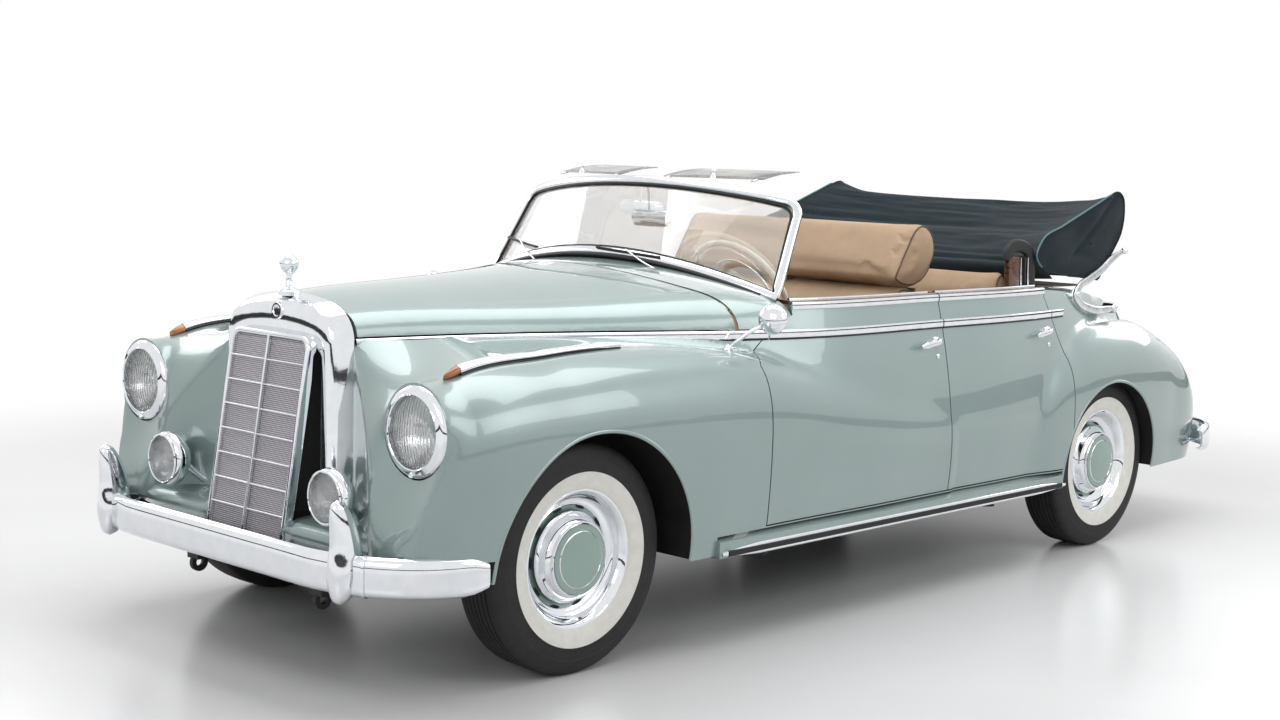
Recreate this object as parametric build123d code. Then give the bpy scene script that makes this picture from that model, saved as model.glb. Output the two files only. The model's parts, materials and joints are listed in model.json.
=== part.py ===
from build123d import *
import math
import os

# A large four-door convertible car of the early 1950s, standing on its four wheels with its roof folded.
# Millimetres. +X is the car's left side, +Y runs from the nose to the tail, +Z is up.
# The origin is on the ground, midway along the overall length, on the centre line.

os.makedirs("parts", exist_ok=True)

# Wheels, tyres and where they stand
WHEELBASE = 3050
FRONT_AXLE_Y = -1675
REAR_AXLE_Y = FRONT_AXLE_Y + WHEELBASE
TRACK_FRONT = 1480
TRACK_REAR = 1525
TYRE_RADIUS = 359
TYRE_WIDTH = 185
BEAD_RADIUS = 205
FIT = 0.3
PIN_FIT = 0.05

# Body sheet, doors and the gaps that part them
SHEET = 12
DOOR_THICKNESS = 82
SHUT_GAP = 8
JAMB_INSET = 22
SILL_BOTTOM_Z = 290
SILL_TOP_Z = 366
SILL_OUTER_X = 908
DOOR_BOTTOM_Z = SILL_TOP_Z + SHUT_GAP
BELT_Z = 1013
RAIL_Z = 1100
FLOOR_Z = 330
FLOOR_THICKNESS = 12
FLOOR_HALF_WIDTH = 760
TUNNEL_HALF_WIDTH = 118
TUNNEL_HEIGHT = 98
BOOT_FLOOR_Z = 600
AIR_BOX_Z = 978
BONNET_SHEET = 18
BOOT_SHEET = 22
DOOR_TOP_THICKNESS = 70

# Where the doors part from each other and from the body, measured along the car
COWL_CUT_Y = -875
COWL_CUT_TOP_Y = -735
SCREEN_CUT_Y = -640
WING_END_Y = COWL_CUT_Y - SHUT_GAP
MIDDLE_CUT_Y = 185
REAR_CUT_Y = REAR_AXLE_Y - 345
REAR_CUT_TOP_Y = REAR_AXLE_Y - 432

SILL_FRONT_Y = COWL_CUT_Y - 250
HINGE_BOSS_Z = (560, 820)

# Boot lid
BOOT_FRONT_Y = REAR_AXLE_Y + 430
BOOT_BOTTOM_Z = 620
BOOT_HALF_WIDTH = 440

# Wheel arches
FRONT_ARCH_RADIUS = 412
FRONT_ARCH_Y = FRONT_AXLE_Y + 15
FRONT_ARCH_Z = 345
REAR_ARCH_RADIUS = 372
REAR_ARCH_Y = REAR_AXLE_Y - 20
REAR_ARCH_Z = 330

# Bonnet, nose and grille
BONNET_FRONT_Y = FRONT_AXLE_Y - 452
BONNET_REAR_Y = FRONT_AXLE_Y + 815
BONNET_REAR_MIDDLE_Y = FRONT_AXLE_Y + 690
BONNET_FRONT_GAP = 14
BONNET_REAR_GAP = 10
BONNET_BUFFERS = ((329, FRONT_AXLE_Y - 300), (526, FRONT_AXLE_Y + 350))
SHELL_DEPTH = 62
GRILLE_TOP_Y = FRONT_AXLE_Y - 540
GRILLE_TOP_Z = 1020
GRILLE_BOTTOM_Z = 385
GRILLE_LEAN = 100
GRILLE_HALF_WIDTH = 205
GRILLE_THICKNESS = 24

# Lamps
HEADLAMP_X = 712
HEADLAMP_Y = FRONT_AXLE_Y - 560
HEADLAMP_Z = 787
HEADLAMP_RADIUS = 137
HEADLAMP_GLASS_RADIUS = 106
FOG_LAMP_X = 432
FOG_LAMP_Y = FRONT_AXLE_Y - 655
FOG_LAMP_Z = 567
FOG_LAMP_RADIUS = 88
FOG_LAMP_GLASS_RADIUS = 74

# Bumpers
BUMPER_HEIGHT = 118
BUMPER_THICKNESS = 42
BUMPER_BOTTOM_Z = 322
FRONT_BUMPER_Y = FRONT_AXLE_Y - 778
REAR_BUMPER_Y = REAR_AXLE_Y + 1078
BUMPER_HALF_WIDTH = 868
OVERRIDER_X = 618
OVERRIDER_WIDTH = 92
OVERRIDER_TOP_Z = 600
OVERRIDER_BOTTOM_Z = 298
OVERRIDER_FRONT = 38
IRON_X = 330
FRONT_IRON_Y = FRONT_AXLE_Y - 620

# Windscreen
SCREEN_BASE_Y = FRONT_AXLE_Y + 881
SCREEN_FOOT_Z = 1115
SCREEN_RAKE = 32
SCREEN_RADIUS = 1700
SCREEN_TOP_Z = 1508
SCREEN_CORNER_Z = 1456
SCREEN_FRAME_WIDTH = 30
SCREEN_FRAME_DEPTH = 34
GLASS_THICKNESS = 6

# Doors' hinge lines: a point low on the line, and how far it leans in over its height
HINGE_LOW_Z = 600
HINGE_HIGH_Z = 1000
FRONT_HINGE_X = 914
REAR_HINGE_X = 908
HINGE_LEAN = 28

# Inside
DASH_Y = FRONT_AXLE_Y + 892
DASH_HALF_WIDTH = 620
FRONT_SEAT_Y = FRONT_AXLE_Y + 1450
REAR_SEAT_Y = REAR_AXLE_Y - 700
REAR_SEAT_TOP_Z = 1130
STEERING_X = 360
STEERING_Y = FRONT_AXLE_Y + 1247
STEERING_Z = 1094
STEERING_RADIUS = 215
STEERING_TILT = 60

# Running gear
FRONT_SILL_Z = 452
KINGPIN_X = 640
KINGPIN_RADIUS = 22
AXLE_STUB_RADIUS = 20
CHASSIS_Z = 290
CHASSIS_RADIUS = 40
CHASSIS_PATH = (
    (330, FRONT_AXLE_Y - 610, 300), (225, FRONT_AXLE_Y - 200, 290), (225, FRONT_AXLE_Y + 200, 290),
    (60, FRONT_AXLE_Y + 1150, 262), (330, REAR_AXLE_Y - 420, 262), (480, REAR_AXLE_Y - 290, 290),
)
CROSS_TUBES = (
    (FRONT_AXLE_Y - 500, 290, 290), (FRONT_AXLE_Y + 1000, 745, 300), (REAR_AXLE_Y - 620, 745, 300),
    (REAR_AXLE_Y - 290, 480, 300),
)
JACKING_Y = (FRONT_AXLE_Y + 1000, REAR_AXLE_Y - 620)
JACKING_X = 690
TOW_EYE_Y = FRONT_AXLE_Y - 596
TOW_EYE_Z = 236
TOW_EYE_RADIUS = 14

# Small pieces on the body
STRIP_Z = (300, 328)
STRIP_THICKNESS = 8
REAR_LAMP_X = 690
REAR_LAMP_Y = REAR_AXLE_Y + 905
REAR_LAMP_Z = 620
REAR_LAMP_RADIUS = 48
HOOD_HALF_WIDTH = 750


# Small drawing helpers

def outline(place, start, *steps):
    """A closed flat face. Each step is a point, or a pair (the middle of a curve, the curve's end)."""
    edges = []
    here = start
    for step in steps:
        if isinstance(step[0], tuple):
            middle, end = step
            pull = tuple(2 * m - (a + b) / 2 for a, m, b in zip(here, middle, end))
            edges.append(Bezier(place(*here), place(*pull), place(*end)))
            here = end
        else:
            edges.append(Line(place(*here), place(*step)))
            here = step
    if math.dist(here, start) > 1e-6:
        edges.append(Line(place(*here), place(*start)))
    return Face(Wire(edges))


def across(y):
    """Places (x, z) points in the plane across the car at y."""
    return lambda x, z: (x, y, z)


def along(x):
    """Places (y, z) points in the plane along the car at x."""
    return lambda y, z: (x, y, z)


def level(z):
    """Places (x, y) points in the level plane at z."""
    return lambda x, y: (x, y, z)


def prism(face, x=0, y=0, z=0):
    """The face swept straight along one vector."""
    return extrude(face, amount=math.hypot(x, y, z), dir=(x, y, z))


def block(x0, x1, y0, y1, z0, z1):
    """A box from its corners."""
    return Pos((x0 + x1) / 2, (y0 + y1) / 2, (z0 + z1) / 2) * Box(x1 - x0, y1 - y0, z1 - z0)


def rod(start, end, radius):
    """A round bar between two points."""
    direction = Vector(*end) - Vector(*start)
    return Plane(origin=start, z_dir=direction) * Cylinder(
        radius, direction.length, align=(Align.CENTER, Align.CENTER, Align.MIN))


def mirrored(shape):
    """The same piece on the car's right side."""
    return mirror(shape, about=Plane.YZ)


def both(shape):
    """The piece on the left and its mirror image, as two solids."""
    return Compound(children=[*shape.solids(), *mirrored(shape).solids()])


def save(shape, name):
    """Writes one node's file."""
    solids = shape.solids()
    export_step(solids[0] if len(solids) == 1 else Compound(children=list(solids)), f"parts/{name}.step")


# The body's outer form. Sections run from nose to tail, and each row of a table is one section.

# Cabin and tail: y, belt x, belt z, widest x, widest z, sill x, crown z on the centre line
TUB_SECTIONS = (
    (FRONT_AXLE_Y + 600, 672, 1090, 850, 640, 832, 1186),
    (FRONT_AXLE_Y + 988, 752, 1100, 872, 630, 852, 1212),
    (FRONT_AXLE_Y + 1860, 800, 1100, 893, 620, 870, 1215),
    (REAR_AXLE_Y - 450, 790, 1094, 880, 620, 862, 1160),
    (REAR_AXLE_Y + 80, 700, 1052, 810, 620, 800, 1090),
    (REAR_AXLE_Y + 550, 585, 930, 700, 600, 690, 975),
    (REAR_AXLE_Y + 880, 470, 700, 590, 540, 590, 745),
    (REAR_AXLE_Y + 1010, 400, 500, 510, 440, 520, 530),
)

# Front wing, running on over the door: y, inner x, inner z, crest x, crest z, widest x, widest z, low x
FRONT_WING_NOSE = (
    (FRONT_AXLE_Y - 602, 560, 660, 690, 812, 806, 640, 770),
    (FRONT_AXLE_Y - 540, 440, 830, 700, 893, 855, 670, 830),
    (FRONT_AXLE_Y - 460, 292, 1000, 705, 928, 882, 690, 860),
)
FRONT_WING_SECTIONS = (
    FRONT_WING_NOSE[-1],
    (FRONT_AXLE_Y - 70, 372, 1004, 710, 978, 904, 698, 889),
    (FRONT_AXLE_Y + 320, 508, 1004, 728, 985, 909, 688, 893),
    (FRONT_AXLE_Y + 710, 640, 985, 765, 958, 908, 665, 888),
    (FRONT_AXLE_Y + 1110, 700, 875, 798, 872, 903, 625, 881),
    (FRONT_AXLE_Y + 1500, 700, 760, 818, 756, 896, 570, 876),
    (FRONT_AXLE_Y + 1900, 700, 640, 830, 650, 888, 500, 870),
)

# Rear wing, with the same columns
REAR_WING_SECTIONS = (
    (REAR_AXLE_Y - 630, 640, 450, 800, 500, 866, 420, 862),
    (REAR_AXLE_Y - 500, 600, 700, 800, 745, 902, 545, 893),
    (REAR_AXLE_Y - 250, 600, 845, 790, 888, 916, 600, 902),
    (REAR_AXLE_Y + 100, 580, 900, 765, 940, 919, 585, 902),
    (REAR_AXLE_Y + 500, 520, 850, 710, 893, 898, 560, 882),
    (REAR_AXLE_Y + 800, 450, 685, 650, 722, 848, 500, 828),
    (REAR_AXLE_Y + 950, 450, 470, 600, 505, 752, 440, 730),
)

# Bonnet: y, side x at the moulding, shoulder x, shoulder z, crown z
BONNET_SECTIONS = (
    (FRONT_AXLE_Y - 520, 290, 215, 1085, 1121),
    (FRONT_AXLE_Y - 452, 300, 222, 1092, 1130),
    (FRONT_AXLE_Y + 0, 400, 300, 1105, 1160),
    (FRONT_AXLE_Y + 480, 590, 450, 1120, 1187),
    (FRONT_AXLE_Y + 900, 765, 615, 1140, 1212),
    (FRONT_AXLE_Y + 1080, 800, 650, 1128, 1226),
)
WING_BOTTOM_Z = 305
VALLEY = 14


def tub_section(row, inset, drop):
    y, belt_x, belt_z, wide_x, wide_z, sill_x, crown_z = row
    belt_x, wide_x, sill_x = belt_x - inset, wide_x - inset, sill_x - inset
    belt_z, crown_z, bottom_z = belt_z - inset, crown_z - inset, SILL_BOTTOM_Z - drop
    low_mid = ((sill_x + wide_x) / 2 + 6, (bottom_z + wide_z) / 2)
    high_mid = ((wide_x + belt_x) / 2 + 12, (wide_z + belt_z) / 2)
    return outline(
        across(y), (sill_x, bottom_z), (low_mid, (wide_x, wide_z)), (high_mid, (belt_x, belt_z)),
        ((0, crown_z), (-belt_x, belt_z)), ((-high_mid[0], high_mid[1]), (-wide_x, wide_z)),
        ((-low_mid[0], low_mid[1]), (-sill_x, bottom_z)))


def tub(inset=0, drop=0):
    """The cabin and tail as one full form, or the same form drawn in by a wall."""
    rows = [list(row) for row in TUB_SECTIONS]
    rows[-1][0] -= max(inset, 0)
    return loft([tub_section(row, inset, drop) for row in rows])


def wing_section(row, inset, drop):
    y, inner_x, inner_z, crest_x, crest_z, wide_x, wide_z, low_x = row
    inner_x, crest_z, wide_x, low_x = inner_x + inset, crest_z - inset, wide_x - inset, low_x - inset
    inner_z, bottom_z = inner_z - inset, WING_BOTTOM_Z - drop
    rise, spread = crest_z - wide_z, wide_x - crest_x
    crown_mid = ((inner_x + crest_x) / 2, (inner_z + crest_z) / 2 + (crest_z - inner_z) * 0.22 - VALLEY)
    shoulder_mid = (crest_x + spread * 0.76, wide_z + rise * 0.70)
    side_mid = ((wide_x + low_x) / 2 + 5, (wide_z + bottom_z) / 2)
    return outline(
        across(y), (inner_x, bottom_z), (inner_x, inner_z), (crown_mid, (crest_x, crest_z)),
        (shoulder_mid, (wide_x, wide_z)), (side_mid, (low_x, bottom_z)))


def wing(table, inset=0, drop=0, ends=(0, 0)):
    """A wing's full form. ends draws its first and last sections along the car."""
    rows = [list(row) for row in table]
    rows[0][0] += ends[0]
    rows[-1][0] -= ends[1]
    return loft([wing_section(row, inset, drop) for row in rows])


def bonnet_form(inset=0):
    """Everything over the moulding line, from the grille shell to the windscreen."""
    sections = []
    for y, side_x, shoulder_x, shoulder_z, crown_z in BONNET_SECTIONS:
        side_x, shoulder_x = side_x - inset, shoulder_x - inset * 0.7
        shoulder_z, crown_z = shoulder_z - inset * 0.7, crown_z - inset
        corner = ((side_x + shoulder_x) / 2 + (side_x - shoulder_x) * 0.22,
                  (BELT_Z + shoulder_z) / 2 + (shoulder_z - BELT_Z) * 0.14)
        base_z = BELT_Z - 250
        sections.append(outline(
            across(y), (side_x, base_z), (side_x, BELT_Z), (corner, (shoulder_x, shoulder_z)),
            ((0, crown_z), (-shoulder_x, shoulder_z)), ((-corner[0], corner[1]), (-side_x, BELT_Z)),
            (-side_x, base_z)))
    return loft(sections)


def door_region(front, rear, inset, x0, x1):
    """The block that cuts a door out of the body's side, with an even gap all round."""
    if front:
        points = ((COWL_CUT_Y + inset, DOOR_BOTTOM_Z + inset), (COWL_CUT_Y + inset, 905),
                  (COWL_CUT_TOP_Y + inset, BELT_Z), (SCREEN_CUT_Y + inset, BELT_Z + 46),
                  (SCREEN_CUT_Y + inset, RAIL_Z + 60),
                  (MIDDLE_CUT_Y - inset, RAIL_Z + 60), (MIDDLE_CUT_Y - inset, DOOR_BOTTOM_Z + inset))
    else:
        points = ((MIDDLE_CUT_Y + inset, DOOR_BOTTOM_Z + inset), (MIDDLE_CUT_Y + inset, RAIL_Z + 60),
                  (REAR_CUT_TOP_Y - inset, RAIL_Z + 60), (REAR_CUT_TOP_Y - inset, 1060),
                  (REAR_CUT_Y - inset, 860), (REAR_CUT_Y - inset, DOOR_BOTTOM_Z + inset))
    return prism(outline(along(x0), *points), x=x1 - x0)


def arch(y, z, radius, x0, x1):
    """A round wheel opening, carried down to the ground."""
    hole = rod((x0, y, z), (x1, y, z), radius)
    return hole + block(min(x0, x1), max(x0, x1), y - radius, y + radius, -10, z)


def left_half(shape):
    return shape & block(0, 2000, -4000, 4000, -500, 3000)


# Body panels

TUB = left_half(tub())
FRONT_WING = wing(FRONT_WING_NOSE) + wing(FRONT_WING_SECTIONS)
REAR_WING = wing(REAR_WING_SECTIONS)
TUB_INNER = left_half(tub(SHEET, 60))
FRONT_WING_INNER = wing(FRONT_WING_NOSE, SHEET, 60, (SHEET, 0)) + wing(FRONT_WING_SECTIONS, SHEET, 60)
REAR_WING_INNER = wing(REAR_WING_SECTIONS, SHEET, 60, (SHEET, SHEET))
DOOR_BACK = left_half(tub(DOOR_THICKNESS, 60))
BONNET_FORM = bonnet_form()
FRONT_ARCH = arch(FRONT_ARCH_Y, FRONT_ARCH_Z, FRONT_ARCH_RADIUS, 640, 1000)
REAR_ARCH = arch(REAR_ARCH_Y, REAR_ARCH_Z, REAR_ARCH_RADIUS, 640, 1000)


def largest(shape):
    """The biggest solid of a cut shape, without its slivers."""
    return max(shape.solids(), key=lambda s: s.volume)


def cabin_opening(wall):
    """Everything inside the doors' tops, as a block that follows the belt line in plan."""
    edge = [(row[1] - wall, row[0]) for row in TUB_SECTIONS[:5]]
    face = outline(level(BELT_Z - 120), (-20, edge[0][1]), *edge, (-20, edge[-1][1]))
    return prism(face, z=700)


def make_front_wings():
    """Front wings with their inner aprons, open below, back to the door's leading edge."""
    keep = block(200, 1000, FRONT_AXLE_Y - 700, WING_END_Y, 250, BELT_Z - 3)
    panel = (FRONT_WING & keep) - FRONT_WING_INNER - FRONT_ARCH
    panel -= block(0, 1000, FRONT_AXLE_Y - 700, FRONT_AXLE_Y - 330, 200, FRONT_SILL_Z)
    panel -= block(200, 640, FRONT_AXLE_Y - 430, FRONT_AXLE_Y + 560, 200, 800)
    panel -= block(750, 1000, COWL_CUT_Y - 500, COWL_CUT_Y, 200, SILL_TOP_Z + 0.3)
    panel -= rod((HEADLAMP_X, HEADLAMP_Y - 200, HEADLAMP_Z), (HEADLAMP_X, HEADLAMP_Y + 150, HEADLAMP_Z),
                 HEADLAMP_RADIUS + FIT)
    panel = largest(panel)
    for x, y in BONNET_BUFFERS:
        panel += rod((x, y, 985), (x, y, BELT_Z + 3 - FIT), 5)
    return both(panel)


def make_bonnet():
    """The bonnet, one sheet with its sides down to the moulding line."""
    cut = outline(
        level(900), (-900, BONNET_FRONT_Y), (900, BONNET_FRONT_Y), (900, BONNET_REAR_Y),
        (790, BONNET_REAR_Y), ((0, BONNET_REAR_MIDDLE_Y), (-790, BONNET_REAR_Y)), (-900, BONNET_REAR_Y))
    keep = prism(cut, z=500) & block(-900, 900, -3000, 0, BELT_Z + 3, 1400)
    return largest((BONNET_FORM - bonnet_form(BONNET_SHEET)) & keep)


def make_cowl():
    """Scuttle between bonnet and windscreen, with the air box and the fire wall below it."""
    front = BONNET_REAR_MIDDLE_Y + BONNET_REAR_GAP
    side = BONNET_REAR_Y + BONNET_REAR_GAP
    cut = outline(
        level(850), (-1000, side), (-790, side), ((0, front), (790, side)), (1000, side),
        (1000, SCREEN_CUT_Y - 4), (760, SCREEN_CUT_Y - 4), ((0, SCREEN_BASE_Y + 34), (-760, SCREEN_CUT_Y - 4)),
        (-1000, SCREEN_CUT_Y - 4))
    upper = block(-900, 900, -3000, 0, BELT_Z + 3, 1400)
    top = (BONNET_FORM - bonnet_form(SHEET)) & prism(cut, z=500) & upper
    door_gap = door_region(True, False, -SHUT_GAP / 2, 400, 1000)
    top = top - door_gap - mirrored(door_gap)
    corner = (TUB - left_half(tub(SHEET, 60))) & block(500, 1000, WING_END_Y + 0.3, SCREEN_CUT_Y - 4, 880, BELT_Z + 3)
    corner = both(largest(corner - door_gap - FRONT_WING))
    wall_half = (left_half(tub(DOOR_THICKNESS, 60)) & block(
        0, 1000, WING_END_Y, WING_END_Y + SHEET, FLOOR_Z, AIR_BOX_Z + SHEET)) - FRONT_WING
    wall_half += block(0, 600, WING_END_Y, DASH_Y, AIR_BOX_Z, AIR_BOX_Z + SHEET)
    wall_half += left_half(bonnet_form(SHEET / 2)) & block(0, 600, DASH_Y - SHEET, DASH_Y, AIR_BOX_Z, 1300)
    wall_half -= block(-10, TUNNEL_HALF_WIDTH, -3000, 0, 0, FLOOR_Z + TUNNEL_HEIGHT)
    wall_half -= block(400, 1000, WING_END_Y - 10, 0, 0, SILL_TOP_Z + 0.3)
    return top + wall_half + mirrored(wall_half) + corner


def half_door(front):
    """A left door: outer skin in the body's own form, and an inner panel set in from the jambs."""
    outer = TUB + (FRONT_WING if front else REAR_WING)
    skin = outer & door_region(front, not front, SHUT_GAP / 2, 500, 1000)
    skin -= left_half(tub(24, 60))
    inner = (TUB & door_region(front, not front, JAMB_INSET, 500, 1000)) - DOOR_BACK
    top = block(500, 1000, -3000, 3000, DOOR_BOTTOM_Z, RAIL_Z - 2)
    door = ((skin + inner) & top) - cabin_opening(DOOR_TOP_THICKNESS)
    if not front:
        door -= REAR_ARCH
    return largest(door)


def make_body_sides():
    """Sills with the fixed posts before, between and behind the doors, and the hinge bosses on them."""
    rear = REAR_ARCH_Y - REAR_ARCH_RADIUS - 6
    sill = prism(outline(
        across(SILL_FRONT_Y), (FLOOR_HALF_WIDTH, SILL_BOTTOM_Z), (SILL_OUTER_X, SILL_BOTTOM_Z + 8),
        (SILL_OUTER_X, 350), (SILL_OUTER_X - 40, SILL_TOP_Z), (FLOOR_HALF_WIDTH, SILL_TOP_Z)), y=rear - SILL_FRONT_Y)
    reach = left_half(tub(30)) - left_half(tub(95, 60))
    posts = reach & block(500, 1000, WING_END_Y - 60, WING_END_Y, SILL_TOP_Z - 10, 880)
    posts += reach & block(500, 1000, MIDDLE_CUT_Y - 18, MIDDLE_CUT_Y + 18, SILL_TOP_Z - 10, 1000)
    hinge = left_half(tub(34)) - left_half(tub(78, 60))
    for z in HINGE_BOSS_Z:
        posts += hinge & block(500, 1000, WING_END_Y - 4, COWL_CUT_Y + JAMB_INSET - FIT, z - 18, z + 18)
        posts += hinge & block(500, 1000, MIDDLE_CUT_Y + 10, MIDDLE_CUT_Y + JAMB_INSET - FIT, z - 18, z + 18)
    return both(largest(sill + posts))


def make_rear_body():
    """Rear quarters, rear wings and tail as one hollow shell, open over the cabin and the boot."""
    outer = TUB + REAR_WING
    rear = outer & block(-1, 1000, REAR_CUT_TOP_Y, 3000, WING_BOTTOM_Z, 1400)
    rear -= TUB_INNER + REAR_WING_INNER
    rear -= door_region(False, True, -SHUT_GAP / 2, 400, 1000)
    rear -= REAR_ARCH
    rear -= cabin_opening(50)
    rear -= boot_region(SHUT_GAP / 2)
    rim = (TUB - left_half(tub(34, 60))) & (boot_region(24) - boot_region(SHUT_GAP / 2))
    rim += (left_half(tub(BOOT_SHEET + FIT, 60)) - left_half(tub(34, 60))) & (boot_region(24) - boot_region(-16))
    half = largest(largest(rear) + rim)
    return half + mirrored(half)


def make_sill_strips():
    """The long bright strips along the sills, one each side."""
    rear = REAR_ARCH_Y - REAR_ARCH_RADIUS - 20
    return both(block(SILL_OUTER_X, SILL_OUTER_X + STRIP_THICKNESS, SILL_FRONT_Y + 14, rear, *STRIP_Z))


def make_rear_lamps():
    """A round lamp on the back of each rear wing, its body seated on the wing."""
    lamp_body = rod((REAR_LAMP_X, REAR_LAMP_Y - 160, REAR_LAMP_Z), (REAR_LAMP_X, REAR_LAMP_Y, REAR_LAMP_Z),
                    REAR_LAMP_RADIUS)
    lamp_body &= Pos(REAR_LAMP_X, REAR_LAMP_Y - 170, REAR_LAMP_Z) * Sphere(170)
    return both(largest(lamp_body - REAR_WING - TUB))


def boot_region(grow):
    """The block that cuts the boot lid out of the tail, made bigger all round by grow."""
    face = outline(
        level(BOOT_BOTTOM_Z - grow), (-10, BOOT_FRONT_Y - grow), (BOOT_HALF_WIDTH + grow, BOOT_FRONT_Y - grow),
        (BOOT_HALF_WIDTH - 60 + grow, 3000), (-10, 3000))
    return prism(face, z=900)


def make_boot_lid():
    half = largest((TUB & boot_region(0)) - left_half(tub(BOOT_SHEET, 60)))
    return half + mirrored(half)


# Nose

def make_radiator_shell():
    """The plated shell round the grille, an arch with deep sides, and a plain finial on its crown."""
    def arch_face(y, half, top, corner, foot):
        return outline(
            across(y), (-half, foot), (-half, top - corner),
            ((-half * 0.86, top - corner * 0.42), (-half * 0.55, top - corner * 0.12)),
            ((0, top), (half * 0.55, top - corner * 0.12)),
            ((half * 0.86, top - corner * 0.42), (half, top - corner)), (half, foot))
    back = BONNET_FRONT_Y - BONNET_FRONT_GAP
    front = back - SHELL_DEPTH
    outer = loft([arch_face(front, 268, 1104, 105, GRILLE_BOTTOM_Z), arch_face(back, 300, 1132, 117, GRILLE_BOTTOM_Z)])
    hole = prism(arch_face(front - 10, 240, 1046, 50, 300), y=SHELL_DEPTH + 20)
    finial = Pos(0, back - 22, 1100) * Cylinder(16, 66, align=(Align.CENTER, Align.CENTER, Align.MIN))
    finial += Pos(0, back - 22, 1196) * Sphere(34)
    return (outer - hole) + finial


def make_grille():
    """The grille: a framed panel that leans, its foot well ahead of its head."""
    lean = math.degrees(math.atan2(GRILLE_LEAN, GRILLE_TOP_Z - GRILLE_BOTTOM_Z))
    height = math.hypot(GRILLE_LEAN, GRILLE_TOP_Z - GRILLE_BOTTOM_Z)
    half = GRILLE_HALF_WIDTH
    face = outline(across(0), (-half, -20), (-half - 4, height - 30), ((-half + 6, height - 6), (-half + 30, height)),
                   (half - 30, height), ((half - 6, height - 6), (half + 4, height - 30)), (half, -20))
    panel = Pos(0, GRILLE_TOP_Y - GRILLE_LEAN, GRILLE_BOTTOM_Z) * Rot(-lean, 0, 0) * prism(face, y=GRILLE_THICKNESS)
    return panel - block(-400, 400, -3000, 0, 0, GRILLE_BOTTOM_Z)


def lamp(x, y, z, radius, glass_radius, depth, bulge):
    """A lamp's bright ring and bowl, and its glass, as two solids that face forwards."""
    ring = revolve(Face(Wire([
        Line((0, depth, 0), (radius * 0.62, depth, 0)), Line((radius * 0.62, depth, 0), (radius, 18, 0)),
        ThreePointArc((radius, 18, 0), (radius - 8, -5, 0), (glass_radius + 4, -14, 0)),
        Line((glass_radius + 4, -14, 0), (glass_radius, 0, 0)), Line((glass_radius, 0, 0), (glass_radius, 16, 0)),
        Line((glass_radius, 16, 0), (0, 16, 0)), Line((0, 16, 0), (0, depth, 0))])), Axis.Y)
    rim = glass_radius - FIT
    sphere = (rim ** 2 + bulge ** 2) / (2 * bulge)
    glass = rod((0, 16, 0), (0, -bulge - 10, 0), rim) & (Pos(0, sphere - bulge - 2, 0) * Sphere(sphere))
    return Pos(x, y, z) * ring, Pos(x, y, z) * glass


def make_lamps():
    """Headlamps in the wings and fog lamps on short stalks, all four rings and all four glasses."""
    headlamp = lamp(HEADLAMP_X, HEADLAMP_Y, HEADLAMP_Z, HEADLAMP_RADIUS, HEADLAMP_GLASS_RADIUS, 90, 22)
    fog_lamp = lamp(FOG_LAMP_X, FOG_LAMP_Y, FOG_LAMP_Z, FOG_LAMP_RADIUS, FOG_LAMP_GLASS_RADIUS, 60, 10)
    stalk = rod((FOG_LAMP_X, FOG_LAMP_Y + 50, FOG_LAMP_Z), (FOG_LAMP_X, FOG_LAMP_Y + 200, FOG_LAMP_Z), 15)
    fog_ring = largest(fog_lamp[0] + largest(stalk - FRONT_WING))
    rings = Compound(children=[*headlamp[0].solids(), *fog_ring.solids()])
    glasses = Compound(children=[*headlamp[1].solids(), *fog_lamp[1].solids()])
    return both(rings), both(glasses)


# Bumpers

def bumper(y, sign, half_width, end_y, bottom, bend_share, bracket_y):
    """A plated blade that curves back round the corners, with its overriders and its two irons."""
    straight = 470
    bend = (half_width * 0.86, y + (end_y - y) * bend_share)
    t = BUMPER_THICKNESS
    face = outline(
        level(bottom), (-straight, y), (straight, y), (bend, (half_width, end_y)),
        (half_width - t, end_y), ((bend[0] - t * 0.72, bend[1] + sign * t * 0.85), (straight, y + sign * t)),
        (-straight, y + sign * t), ((-bend[0] + t * 0.72, bend[1] + sign * t * 0.85), (-half_width + t, end_y)),
        (-half_width, end_y), ((-bend[0], bend[1]), (-straight, y)))
    blade = prism(face, z=BUMPER_HEIGHT)
    for side in (-1, 1):
        face_y = y + sign * 16
        post = outline(
            along(side * OVERRIDER_X - OVERRIDER_WIDTH / 2), (face_y - sign * OVERRIDER_FRONT, OVERRIDER_BOTTOM_Z + 60),
            ((face_y - sign * OVERRIDER_FRONT * 0.6, OVERRIDER_TOP_Z - 60), (face_y + sign * 24, OVERRIDER_TOP_Z)),
            (face_y + sign * 62, OVERRIDER_TOP_Z - 40), (face_y + sign * 62, OVERRIDER_BOTTOM_Z + 30),
            ((face_y + sign * 8, OVERRIDER_BOTTOM_Z), (face_y - sign * OVERRIDER_FRONT, OVERRIDER_BOTTOM_Z + 60)))
        blade += prism(post, x=OVERRIDER_WIDTH)
        near, far = sorted((y + sign * (t - 6), bracket_y))
        blade += block(side * IRON_X - 18, side * IRON_X + 18, near, far, BUMPER_BOTTOM_Z + 28, BUMPER_BOTTOM_Z + 78)
    return blade


# Windscreen

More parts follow.
